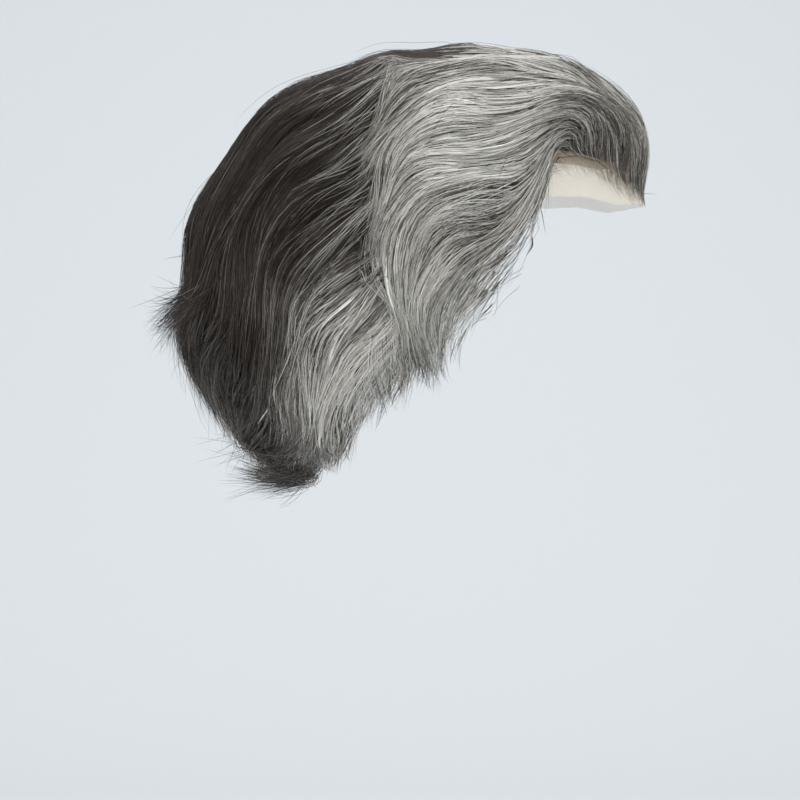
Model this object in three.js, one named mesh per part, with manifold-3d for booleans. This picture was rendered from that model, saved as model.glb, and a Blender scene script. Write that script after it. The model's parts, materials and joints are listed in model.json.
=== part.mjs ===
// A swept-back hairpiece on a thin cap with a sheer lace front, in millimetres.
// +X is forward, towards the face, +Y the wearer's left and +Z up.
// The origin is where the crown of the head meets the inside of the cap.

import * as THREE from 'three';
import { mergeVertices } from 'three/addons/utils/BufferGeometryUtils.js';
import Module from 'manifold-3d';

const wasm = await Module();
wasm.setup();

// The head that the piece fits, measured from the axis through the ears.
const FOREHEAD_REACH = 105; // ear axis to the forehead
const OCCIPUT_REACH = 97; // ear axis to the back of the skull
const HEAD_BREADTH = 154; // across the head above the ears
const CROWN_HEIGHT = 90; // crown above the ear axis
const NAPE_DROP = 105; // ear axis down to the nape, where the skull turns in to the neck
const HEAD_ROUNDNESS = 2.1; // exponent of the head's form, 2 for an ellipsoid
const NECK_LENGTH = 116; // across the neck from front to back
const NECK_BREADTH = 112;
const NECK_FORWARD = 4; // the neck's middle ahead of the ear axis

// Walls and clearances.
const CAP_WALL = 1.2;
const LACE_WALL = 1.0;
const SEAT_GAP = 0.3; // between the cap's outside and the hair's inside
const LEAST_WALL = 0.7; // of the hair's own body
const SECTION_GAP = 0.5; // between hair sections, measured along one axis of the side view
const LACE_MARGIN = 4.5; // how far the lace runs back under the hair

// The hair's lift over the head.
const HAIR_LIFT = 12; // over the crown and the back
const EAR_LIFT = 11; // at the side of the head, over the ears
const LEAST_HAIR = 2.2; // at the hairline, over the skin
const WAVE_HEIGHT = 3.2; // of the tallest wave across the flow
const WAVE_WIDTH = 13; // half-width of a wave
const LOCK_HEIGHT = 5.5; // of a lock over the valleys beside it
const LOCK_WIDTH = 11.5; // half-width of a lock
const RELIEF_FROM = 1.5; // lift at which waves and locks begin to show
const RELIEF_FULL = 7; // lift at which they have their full height

// Degrees aside of the middle at which the lift turns from the ridge's to the
// flank's, and from the flank's to the ear's.
const RIDGE_TO_FLANK = [8, 52];
const FLANK_TO_EAR = [58, 88];

// Free tips of the locks.
const FLIP_LENGTH = 34;
const FLIP_WIDTH = 22;
const FLIP_DEPTH = 9;
const BEND_OUT = 0.12; // a lock's bend, as shares of its tip's way out and down
const BEND_DOWN = 0.72;

// Fineness of the facets.
const HAIR_DETAIL = 16;
const HEAD_DETAIL = 6;
const TIP_SIDES = 6;
const TIP_RINGS = 5;
const TIP_POINT = 1.6; // exponent of a tip's taper, lower for a slimmer tip
const NECK_SIDES = 32;
const PATH_STEPS = 14; // along a wave or lock
const HALVINGS = 24; // of the angle, to find a point of the side view on the hair
const SAME_POINT = 1e-4; // vertices closer than this are one

const EAR_AXIS = new THREE.Vector3(0, 0, -CROWN_HEIGHT);
const HEAD_HALF = HEAD_BREADTH / 2;
const HAIR_INSIDE = CAP_WALL + SEAT_GAP; // from the skin to the hair's inside
const LEAST_LIFT = Math.max(LEAST_HAIR, HAIR_INSIDE + LEAST_WALL);

// Lift of the hair over the head round the side view, as shares of HAIR_LIFT.
// turn: degrees from straight ahead, over the crown and on to the nape.
// ridge: along the middle of the head. flank: halfway down to the ear.
const LIFTS = [
  { turn: -60, ridge: 0.3, flank: 0.25 },
  { turn: 0, ridge: 0.15, flank: 0.3 },
  { turn: 17, ridge: 0.15, flank: 0.35 },
  { turn: 26, ridge: 1.05, flank: 0.45 },
  { turn: 36, ridge: 1.38, flank: 0.75 },
  { turn: 48, ridge: 1.38, flank: 1.05 },
  { turn: 62, ridge: 1.36, flank: 0.9 },
  { turn: 78, ridge: 0.74, flank: 1.0 },
  { turn: 92, ridge: 0.36, flank: 0.92 },
  { turn: 102, ridge: 0.74, flank: 0.75 },
  { turn: 111, ridge: 0.4, flank: 0.7 },
  { turn: 122, ridge: 0.42, flank: 0.8 },
  { turn: 135, ridge: 0.48, flank: 0.88 },
  { turn: 152, ridge: 0.4, flank: 0.98 },
  { turn: 170, ridge: 0.82, flank: 1.12 },
  { turn: 184, ridge: 0.78, flank: 1.18 },
  { turn: 189, ridge: 0.95, flank: 1.22 },
  { turn: 195, ridge: 1.55, flank: 1.35 },
  { turn: 202, ridge: 1.45, flank: 1.4 },
  { turn: 212, ridge: 1.15, flank: 1.35 },
  { turn: 226, ridge: 0.95, flank: 1.2 },
  { turn: 236, ridge: 1.15, flank: 1.2 },
  { turn: 246, ridge: 1.2, flank: 1.0 },
  { turn: 262, ridge: 0.6, flank: 0.7 },
  { turn: 285, ridge: 0.4, flank: 0.35 },
  { turn: 300, ridge: 0.3, flank: 0.25 },
];

// Waves across the flow, seen from the side. Each path is listed as pairs of
// shares: forward, of the reach to the forehead or the occiput, and up, of the
// crown's height or the nape's drop. height is a share of WAVE_HEIGHT.
const WAVES = [
  { name: 'quiff', height: 0.8, path: [[0.62, 0.96], [0.64, 0.7], [0.72, 0.52]] },
  { name: 'quiff_valley', height: -0.8, path: [[0.42, 1.12], [0.45, 0.78], [0.33, 0.5]] },
  { name: 'second_crest', height: 0.75, path: [[0.08, 1.1], [0.1, 0.72], [0.02, 0.3]] },
  { name: 'fall_line', height: 0.9, path: [[-0.15, 1.0], [-0.2, 0.5], [-0.14, -0.05], [-0.1, -0.4]] },
  { name: 'backPartfall', height: -0.7, path: [[-0.36, 0.95], [-0.4, 0.45], [-0.32, 0.05]] },
  { name: 'crown_wave', height: 0.7, path: [[-0.66, 0.72], [-0.62, 0.3], [-0.52, -0.1]] },
  { name: 'swirl_valley', height: -0.7, path: [[-0.84, 0.06], [-0.7, -0.3], [-0.58, -0.66]] },
  { name: 'swirl', height: 0.8, path: [[-0.3, -0.28], [-0.42, -0.5], [-0.4, -0.78]] },
];

// Main locks on each side of the head, root to tip, in the same shares.
// A path beyond the outline runs along the middle of the head.
const LOCKS = [
  { name: 'top_middle', path: [[1.1, 0.55], [0.75, 1.2], [0.3, 1.3], [-0.1, 1.2]] },
  { name: 'top', path: [[0.93, 0.5], [0.86, 0.88], [0.5, 0.99], [0.15, 0.96], [-0.1, 0.86]] },
  { name: 'arch', path: [[0.86, 0.46], [0.8, 0.74], [0.58, 0.78], [0.33, 0.64], [0.05, 0.62], [-0.15, 0.48]] },
  { name: 'inner_arch', path: [[0.75, 0.5], [0.64, 0.66], [0.47, 0.45], [0.25, 0.32], [0.02, 0.28], [-0.14, 0.05]] },
  { name: 'temple', path: [[0.6, 0.5], [0.5, 0.22], [0.26, 0.04], [0.03, -0.1], [-0.02, -0.36]] },
  { name: 'forward', path: [[0.52, 0.3], [0.42, -0.02], [0.22, -0.22], [0.08, -0.46]] },
  { name: 'spine', path: [[-0.3, 1.2], [-0.9, 0.9], [-1.2, 0.3], [-1.3, -0.3]] },
  { name: 'back_inner', path: [[-0.3, 1.0], [-0.72, 0.78], [-1.02, 0.36], [-1.12, -0.02], [-1.16, -0.3]] },
  { name: 'crown', path: [[-0.3, 0.9], [-0.6, 0.72], [-0.86, 0.44], [-1.03, 0.05], [-1.05, -0.2]] },
  { name: 'back', path: [[-0.3, 0.64], [-0.6, 0.5], [-0.83, 0.14], [-0.9, -0.24], [-1.0, -0.36]] },
  { name: 'hind', path: [[-0.27, 0.4], [-0.52, 0.28], [-0.7, 0.0], [-0.74, -0.34], [-0.86, -0.5]] },
  { name: 'middle', path: [[-0.27, 0.14], [-0.46, 0.05], [-0.58, -0.16], [-0.57, -0.5], [-0.64, -0.74]] },
  { name: 'swirl_upper', path: [[-0.22, -0.06], [-0.38, -0.24], [-0.45, -0.48], [-0.44, -0.8]] },
  { name: 'swirl_lower', path: [[-0.12, -0.26], [-0.24, -0.42], [-0.31, -0.6], [-0.34, -0.84]] },
];

// Outlines in the side view, in the same shares. The hair's edge runs in
// points from the middle of the forehead over the temple and ear to the nape.
const FRONT_HAIRLINE = [
  [1.16, 0.38], [0.955, 0.355], [0.9, 0.385], [0.855, 0.41], [0.78, 0.49], [0.69, 0.52], [0.6, 0.52], [0.555, 0.49],
];
const TEMPLE_EDGE = [
  [0.548, 0.43], [0.5, 0.14], [0.47, 0.17], [0.434, -0.09], [0.385, -0.04], [0.302, -0.24], [0.255, -0.19],
  [0.153, -0.39], [0.115, -0.33], [0.06, -0.51],
];
const SIDE_RIM = [
  [-0.02, -0.46], [-0.085, -0.57], [-0.12, -0.5], [-0.18, -0.64], [-0.22, -0.56], [-0.31, -0.73], [-0.34, -0.63],
  [-0.394, -0.88], [-0.42, -0.78], [-0.479, -0.91], [-0.51, -0.8],
];
const NAPE_RIM = [[-0.585, -0.985], [-0.72, -0.97], [-0.79, -0.87], [-0.93, -0.8], [-1.6, -0.7]];
const LACE_EDGE = [[1.2, 0.3], [0.93, 0.29], [0.83, 0.275], [0.69, 0.31], [0.5, 0.31]];
const CAP_EDGE = [[0.48, 0.28], [0.3, 0.06], [0.08, -0.06], [-0.3, -0.2], [-0.7, -0.38], [-1.6, -0.45]];

// Lines along which one section of hair gives way to the next.
const FALL_LINE = [
  [-0.12, 1.6], [-0.14, 1.1], [-0.2, 0.85], [-0.24, 0.5], [-0.245, 0.25], [-0.21, 0.05], [-0.17, -0.15],
  [-0.19, -0.35], [-0.22, -0.56], [-0.22, -1.2],
];
const PARTING = [[-0.7, 0.08], [-0.12, 0.18], [0.1, 0.24], [0.34, 0.36], [0.5, 0.44], [0.555, 0.49], [0.64, 0.4], [1.5, 0.1]];
const SWIRL_LINE = [[-0.1, 0.0], [-0.32, -0.1], [-0.48, -0.24], [-0.58, -0.46], [-0.54, -0.66], [-0.52, -1.2]];
const NAPE_LINE = [[-1.7, 0.02], [-1.0, 0.02], [-0.82, -0.04], [-0.7, -0.18], [-0.56, -0.42], [0, -0.6]];

// Tiers of locks that curl out at the nape, from the highest down. drop: the
// root's depth below the ear axis, as a share of NAPE_DROP. spread: degrees
// each way from the middle. inset: how deep the root sits, as a share of
// FLIP_DEPTH. out and down: the tip's way from the root, as shares of FLIP_LENGTH.
const FLIP_TIERS = [
  { name: 'upper', drop: 0.02, spread: 38, count: 6, inset: 0.6, out: 0.74, down: 0.74 },
  { name: 'middle', drop: 0.24, spread: 44, count: 6, inset: 0.6, out: 0.34, down: 0.72 },
  { name: 'lower', drop: 0.46, spread: 40, count: 5, inset: 0.6, out: 0.3, down: 0.7 },
  { name: 'tail', drop: 0.82, spread: 20, count: 3, inset: 0.7, out: 0.66, down: 0.78 },
];

const COLOURS = {
  silver: { color: 0xa8a7a3, roughness: 0.5, metalness: 0 },
  ash: { color: 0x8d8986, roughness: 0.5, metalness: 0 },
  dark: { color: 0x3a3230, roughness: 0.5, metalness: 0 },
  lace: { color: 0xe2d3b4, roughness: 0.7, metalness: 0 },
  cap: { color: 0xb59a78, roughness: 0.8, metalness: 0 },
};

// Smooth value of a table's column at a turn round the head.
function liftAt(column, turn) {
  const first = LIFTS[0].turn;
  const span = 360;
  const t = first + ((((turn - first) % span) + span) % span);
  const at = (i) => {
    const n = LIFTS.length;
    const row = LIFTS[((i % n) + n) % n];
    return { turn: row.turn + span * Math.floor(i / n), value: row[column] };
  };
  let i = LIFTS.findLastIndex((row) => row.turn <= t);
  const [a, b, c, d] = [at(i - 1), at(i), at(i + 1), at(i + 2)];
  const u = (t - b.turn) / (c.turn - b.turn);
  const slopeB = ((c.value - a.value) / (c.turn - a.turn)) * (c.turn - b.turn);
  const slopeC = ((d.value - b.value) / (d.turn - b.turn)) * (c.turn - b.turn);
  const [u2, u3] = [u * u, u * u * u];
  return (2 * u3 - 3 * u2 + 1) * b.value + (u3 - 2 * u2 + u) * slopeB
    + (3 * u2 - 2 * u3) * c.value + (u3 - u2) * slopeC;
}

// Distance from the ear axis to the head's skin along a unit direction.
function headReach(direction) {
  const forward = direction.x > 0 ? FOREHEAD_REACH : OCCIPUT_REACH;
  const up = direction.z > 0 ? CROWN_HEIGHT : NAPE_DROP;
  const n = HEAD_ROUNDNESS;
  const sum = Math.abs(direction.x / forward) ** n + Math.abs(direction.y / HEAD_HALF) ** n
    + Math.abs(direction.z / up) ** n;
  return sum ** (-1 / n);
}

// Distance to the hair's smooth surface, before waves and locks.
function smoothReach(direction) {
  const turn = THREE.MathUtils.radToDeg(Math.atan2(direction.z, direction.x));
  const aside = THREE.MathUtils.radToDeg(Math.asin(Math.min(1, Math.abs(direction.y))));
  const toFlank = THREE.MathUtils.smoothstep(aside, ...RIDGE_TO_FLANK);
  const toEar = THREE.MathUtils.smoothstep(aside, ...FLANK_TO_EAR);
  const lift = THREE.MathUtils.lerp(liftAt('ridge', turn), liftAt('flank', turn), toFlank) * HAIR_LIFT;
  return headReach(direction) + Math.max(LEAST_LIFT, THREE.MathUtils.lerp(lift, EAR_LIFT, toEar));
}

// A point of the side view from its shares.
function sidePoint([forward, up]) {
  return new THREE.Vector2(
    forward * (forward > 0 ? FOREHEAD_REACH : OCCIPUT_REACH),
    EAR_AXIS.z + up * (up > 0 ? CROWN_HEIGHT : NAPE_DROP),
  );
}

// The point on one side of the hair's smooth surface that the side view shows there.
function onHair(shares, side) {
  const flat = sidePoint(shares);
  const [x, z] = [flat.x, flat.y - EAR_AXIS.z];
  const out = Math.hypot(x, z);
  const direction = new THREE.Vector3();
  let [low, high] = [0, Math.PI / 2];
  for (let i = 0; i < HALVINGS; i++) {
    const aside = (low + high) / 2;
    direction.set((x / out) * Math.cos(aside), Math.sin(aside), (z / out) * Math.cos(aside));
    if (smoothReach(direction) * Math.cos(aside) > out) low = aside;
    else high = aside;
  }
  const point = direction.multiplyScalar(smoothReach(direction)).add(EAR_AXIS);
  point.y *= side;
  return point;
}

// Points along a path on the hair, evenly spread.
function hairPath(path, side, count) {
  const curve = new THREE.CatmullRomCurve3(path.map((shares) => onHair(shares, side)), false, 'centripetal');
  return curve.getSpacedPoints(count);
}

const nearest = new THREE.Vector3();
const piece = new THREE.Line3();

// Distance from a point to a path, and how far along the path that is.
function alongPath(point, points) {
  let best = { distance: Infinity, share: 0 };
  for (let i = 0; i + 1 < points.length; i++) {
    piece.set(points[i], points[i + 1]);
    const t = piece.closestPointToPointParameter(point, true);
    const distance = piece.at(t, nearest).distanceTo(point);
    if (distance < best.distance) best = { distance, share: (i + t) / (points.length - 1) };
  }
  return best;
}

const SIDES = { right: -1, left: 1 };
const bothSides = Object.values(SIDES);
const ROOT_TAPER = 0.17; // share of a lock's length over which it rises
const TIP_TAPER = 0.2; // share over which it sinks again
const LOCK_END = 1.15; // where it would be level with the hair round it
const waves = WAVES.flatMap((wave) =>
  bothSides.map((side) => ({ ...wave, points: hairPath(wave.path, side, PATH_STEPS) })));
const locks = LOCKS.flatMap((lock) =>
  bothSides.map((side) => ({ ...lock, points: hairPath(lock.path, side, PATH_STEPS) })));

// Height of waves and locks over the smooth surface.
function relief(point) {
  let height = 0;
  for (const wave of waves) {
    const { distance } = alongPath(point, wave.points);
    height += wave.height * WAVE_HEIGHT * Math.exp(-((distance / WAVE_WIDTH) ** 2));
  }
  let lift = 0;
  for (const lock of locks) {
    const { distance, share } = alongPath(point, lock.points);
    const across = Math.max(0, 1 - (distance / LOCK_WIDTH) ** 2);
    const taper = Math.min(1, share / ROOT_TAPER, (LOCK_END - share) / TIP_TAPER);
    lift = Math.max(lift, LOCK_HEIGHT * across * taper);
  }
  return height + lift;
}

// Distance to the hair's real surface along a unit direction.
function hairReach(direction) {
  const smooth = smoothReach(direction);
  const fade = THREE.MathUtils.smoothstep(smooth - headReach(direction), RELIEF_FROM, RELIEF_FULL);
  const height = fade * relief(direction.clone().multiplyScalar(smooth).add(EAR_AXIS));
  return Math.max(headReach(direction) + LEAST_LIFT, smooth + height);
}

function toSolid(geometry) {
  geometry.deleteAttribute('normal');
  geometry.deleteAttribute('uv');
  const merged = mergeVertices(geometry, SAME_POINT);
  return new wasm.Manifold(new wasm.Mesh({
    numProp: 3,
    vertProperties: new Float32Array(merged.attributes.position.array),
    triVerts: new Uint32Array(merged.index.array),
  }));
}

// A closed body round the ear axis, each direction at its own reach.
function bodyRound(reach, detail) {
  const geometry = new THREE.IcosahedronGeometry(1, detail);
  const position = geometry.attributes.position;
  const direction = new THREE.Vector3();
  for (let i = 0; i < position.count; i++) {
    direction.fromBufferAttribute(position, i).normalize();
    direction.multiplyScalar(reach(direction.clone())).add(EAR_AXIS);
    position.setXYZ(i, direction.x, direction.y, direction.z);
  }
  return toSolid(geometry);
}

// A prism through the head from side to side, over an outline of the side view.
const REACH_ASIDE = 2 * HEAD_BREADTH;
function sidePrism(outline) {
  const geometry = new THREE.ExtrudeGeometry(new THREE.Shape(outline), { depth: REACH_ASIDE, bevelEnabled: false });
  geometry.rotateX(Math.PI / 2).translate(0, REACH_ASIDE / 2, 0);
  return toSolid(geometry);
}

// Corners that close an outline well outside the piece.
const FAR = 3 * CROWN_HEIGHT;
const corner = (x, z) => new THREE.Vector2(x * FAR, EAR_AXIS.z + z * FAR);
const moved = (line, x, z) => line.map((shares) => sidePoint(shares).add(new THREE.Vector2(x, z)));
const runsForward = (line) => Math.sign(line[line.length - 1][0] - line[0][0]);

// Prisms on one side of a line: under it, over it, ahead of it or behind it.
function below(line, drop) {
  const way = runsForward(line);
  return sidePrism([...moved(line, 0, -drop), corner(way, -1), corner(-way, -1)]);
}

function above(line, rise) {
  const way = runsForward(line);
  return sidePrism([...moved(line, 0, rise), corner(way, 1), corner(-way, 1)]);
}

const ahead = (line) => sidePrism([...moved(line, 0, 0), corner(1, -1), corner(1, 1)]);
const behind = (line, gap) => sidePrism([...moved(line, -gap, 0), corner(-1, -1), corner(-1, 1)]);

// Everything on one side of the head's middle.
function sideSpace(side) {
  const geometry = new THREE.BoxGeometry(2 * FAR, FAR, 2 * FAR);
  geometry.translate(0, side * (FAR / 2), EAR_AXIS.z);
  return toSolid(geometry);
}

// A tapered lock with a lens section, lofted along a curve and closed at both ends.
function lockTip(curve, width, depth, outward) {
  const positions = [];
  const faces = [];
  const ring = (share) => {
    const taper = Math.sqrt(1 - share ** TIP_POINT);
    const at = curve.getPoint(share);
    const along = curve.getTangent(share);
    const across = new THREE.Vector3().crossVectors(outward, along).normalize();
    const up = new THREE.Vector3().crossVectors(along, across).normalize();
    for (let i = 0; i < TIP_SIDES; i++) {
      const angle = (2 * Math.PI * i) / TIP_SIDES;
      positions.push(at.clone()
        .addScaledVector(across, (Math.cos(angle) * width * taper) / 2)
        .addScaledVector(up, (Math.sin(angle) * depth * taper) / 2));
    }
  };
  for (let i = 0; i < TIP_RINGS; i++) ring(i / TIP_RINGS);
  const [start, end] = [positions.length, positions.length + 1];
  positions.push(curve.getPoint(0), curve.getPoint(1));
  for (let i = 0; i < TIP_SIDES; i++) {
    const next = (i + 1) % TIP_SIDES;
    faces.push([start, next, i]);
    for (let r = 0; r + 1 < TIP_RINGS; r++) {
      const [a, b] = [r * TIP_SIDES, (r + 1) * TIP_SIDES];
      faces.push([a + i, a + next, b + next], [a + i, b + next, b + i]);
    }
    const last = (TIP_RINGS - 1) * TIP_SIDES;
    faces.push([last + i, last + next, end]);
  }
  const geometry = new THREE.BufferGeometry().setFromPoints(positions);
  geometry.setIndex(faces.flat());
  return toSolid(geometry);
}

// Locks that leave the nape and curl outward, in tiers. margin makes each one
// larger all round, for the room that its neighbours leave it.
function napeFlips(margin) {
  return FLIP_TIERS.flatMap(({ drop, spread, count, inset, out, down }) =>
    Array.from({ length: count }, (_, i) => {
      const aside = THREE.MathUtils.degToRad(spread * ((2 * i) / (count - 1) - 1));
      const outward = new THREE.Vector3(-Math.cos(aside), Math.sin(aside), 0);
      const towards = outward.clone().multiplyScalar(OCCIPUT_REACH).setZ(-drop * NAPE_DROP).normalize();
      const depth = smoothReach(towards) - inset * FLIP_DEPTH;
      const root = towards.clone().multiplyScalar(depth).add(EAR_AXIS);
      const at = (outShare, downShare) =>
        root.clone().addScaledVector(outward, outShare * FLIP_LENGTH).setZ(root.z - downShare * FLIP_LENGTH);
      const curve = new THREE.QuadraticBezierCurve3(root, at(BEND_OUT * out, BEND_DOWN * down), at(out, down));
      return lockTip(curve, FLIP_WIDTH + 2 * margin, FLIP_DEPTH + 2 * margin, outward);
    }));
}

const union = (solids) => solids.reduce((whole, solid) => whole.add(solid));

// The largest body of a cut solid, without the slivers that a cut leaves.
function mainBody(solid) {
  return solid.decompose().reduce((largest, body) => (body.volume() > largest.volume() ? body : largest));
}

function neck() {
  const geometry = new THREE.CylinderGeometry(1, 1, FAR, NECK_SIDES);
  geometry.rotateX(Math.PI / 2).scale(NECK_LENGTH / 2, NECK_BREADTH / 2, 1);
  geometry.translate(NECK_FORWARD, 0, EAR_AXIS.z - FAR / 2);
  return toSolid(geometry);
}

// Each wall over the head is a body round the ear axis less the one inside it.
const overHead = (thickness) => bodyRound((direction) => headReach(direction) + thickness, HEAD_DETAIL);
const head = overHead(0);
const hairInside = overHead(HAIR_INSIDE).add(neck());

const hairRim = [...FRONT_HAIRLINE, ...TEMPLE_EDGE, ...SIDE_RIM, ...NAPE_RIM];
const hairOutside = bodyRound(hairReach, HAIR_DETAIL).subtract(below(hairRim, 0));
const flips = union(napeFlips(0));
const flipRoom = union(napeFlips(SECTION_GAP));

// The hair's sections: ahead of the fall line the front and the sides, behind
// it the crown, the nape and the swirl behind each ear.
const frontPart = hairOutside.intersect(ahead(FALL_LINE));
const frontHair = frontPart.intersect(above(PARTING, 0));
const sideHair = frontPart.intersect(below(PARTING, SECTION_GAP));
const backPart = hairOutside.intersect(behind(FALL_LINE, SECTION_GAP));
const swirlOutline = [...moved(SWIRL_LINE, 0, 0), corner(1, -1), corner(1, 0)];
const swirlRoom = [...moved(SWIRL_LINE, -SECTION_GAP, SECTION_GAP), corner(-1, -1), corner(-1, 1), corner(1, 1)];
const swirlHair = backPart.intersect(sidePrism(swirlOutline)).subtract(flipRoom);
const backHair = backPart.intersect(sidePrism(swirlRoom));
const crownHair = backHair.intersect(above(NAPE_LINE, 0)).subtract(flipRoom);
const napeHair = backHair.intersect(below(NAPE_LINE, SECTION_GAP)).add(flips);

// A section of hair, or one side of it, over the cap.
const overCap = (hair) => hair.subtract(hairInside);
const onSide = (hair, side) => overCap(hair).intersect(sideSpace(side));

// The lace runs from its free edge to a line under the hair, where the cap begins.
const laceBack = FRONT_HAIRLINE.slice(0, -1).reverse();
const laceRegion = sidePrism([...moved(LACE_EDGE, 0, 0), ...moved(laceBack, 0, LACE_MARGIN)]);
const laceFront = overHead(LACE_WALL).subtract(head).intersect(laceRegion);
const capFront = moved(FRONT_HAIRLINE.slice(0, -1), 0, LACE_MARGIN + SECTION_GAP);
const capRegion = sidePrism([...capFront, ...moved(CAP_EDGE, 0, 0), corner(-1, 1), corner(1, 1)]);
const baseCap = overHead(CAP_WALL).subtract(head).intersect(capRegion);

function meshOf(name, solid, look) {
  const { vertProperties, triVerts } = mainBody(solid).getMesh();
  const geometry = new THREE.BufferGeometry();
  geometry.setAttribute('position', new THREE.BufferAttribute(new Float32Array(vertProperties), 3));
  geometry.setIndex(new THREE.BufferAttribute(new Uint32Array(triVerts), 1));
  geometry.computeVertexNormals();
  const mesh = new THREE.Mesh(geometry, new THREE.MeshStandardMaterial(COLOURS[look]));
  mesh.name = name;
  return mesh;
}

const hairpiece = new THREE.Group();
hairpiece.add(
  meshOf('base_cap', baseCap, 'cap'),
  meshOf('lace_front', laceFront, 'lace'),
  meshOf('front_hair', overCap(frontHair), 'silver'),
  meshOf('side_hair_right', onSide(sideHair, SIDES.right), 'silver'),
  meshOf('side_hair_left', onSide(sideHair, SIDES.left), 'silver'),
  meshOf('swirl_hair_right', onSide(swirlHair, SIDES.right), 'ash'),
  meshOf('swirl_hair_left', onSide(swirlHair, SIDES.left), 'ash'),
  meshOf('crown_hair', overCap(crownHair), 'dark'),
  meshOf('nape_hair', overCap(napeHair), 'dark'),
);

export default hairpiece;
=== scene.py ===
"""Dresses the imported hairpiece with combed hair, a net cap and a lace front, in a plain studio.

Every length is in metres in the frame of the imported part: +X is forward, towards the face,
+Y the wearer's left and +Z up, and the origin is the crown of the cap's inside.
"""

from __future__ import annotations

import json
import logging
import math
from dataclasses import dataclass, field
from enum import Enum, IntEnum

import bpy
import numpy as np
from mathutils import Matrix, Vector
from mathutils.bvhtree import BVHTree

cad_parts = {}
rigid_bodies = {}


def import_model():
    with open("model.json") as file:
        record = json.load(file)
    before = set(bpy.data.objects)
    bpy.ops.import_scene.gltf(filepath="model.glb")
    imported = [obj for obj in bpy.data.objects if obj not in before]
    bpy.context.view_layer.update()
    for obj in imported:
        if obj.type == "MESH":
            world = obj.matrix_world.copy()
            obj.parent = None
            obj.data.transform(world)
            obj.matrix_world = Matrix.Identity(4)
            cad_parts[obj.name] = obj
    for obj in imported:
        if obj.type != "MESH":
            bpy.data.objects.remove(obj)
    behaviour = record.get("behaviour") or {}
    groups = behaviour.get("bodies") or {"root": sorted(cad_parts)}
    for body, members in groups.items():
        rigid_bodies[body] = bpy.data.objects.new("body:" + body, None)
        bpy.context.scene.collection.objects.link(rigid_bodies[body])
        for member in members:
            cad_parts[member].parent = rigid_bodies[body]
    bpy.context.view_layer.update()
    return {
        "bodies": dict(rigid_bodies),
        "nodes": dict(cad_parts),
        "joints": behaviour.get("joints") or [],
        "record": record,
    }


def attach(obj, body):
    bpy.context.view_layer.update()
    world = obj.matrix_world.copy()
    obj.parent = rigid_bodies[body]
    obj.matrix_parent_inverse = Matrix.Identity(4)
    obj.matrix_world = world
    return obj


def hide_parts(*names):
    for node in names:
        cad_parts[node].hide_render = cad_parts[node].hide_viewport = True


LOG = logging.getLogger("hairpiece")
MM = 0.001
EAR_AXIS = np.array([0.0, 0.0, -0.090])
ROOT = "root"
BATCH = 2048


class Lay(Enum):
    """Which way a strand is combed."""

    SWEPT = "up from the hairline, back over the top and down"
    FALLING = "from the crown down to the nape"


@dataclass(frozen=True)
class CombLine:
    """A line of the side view that the hair follows from root to tip, in millimetres."""

    lay: Lay
    points: tuple[tuple[int, int], ...]


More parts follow.
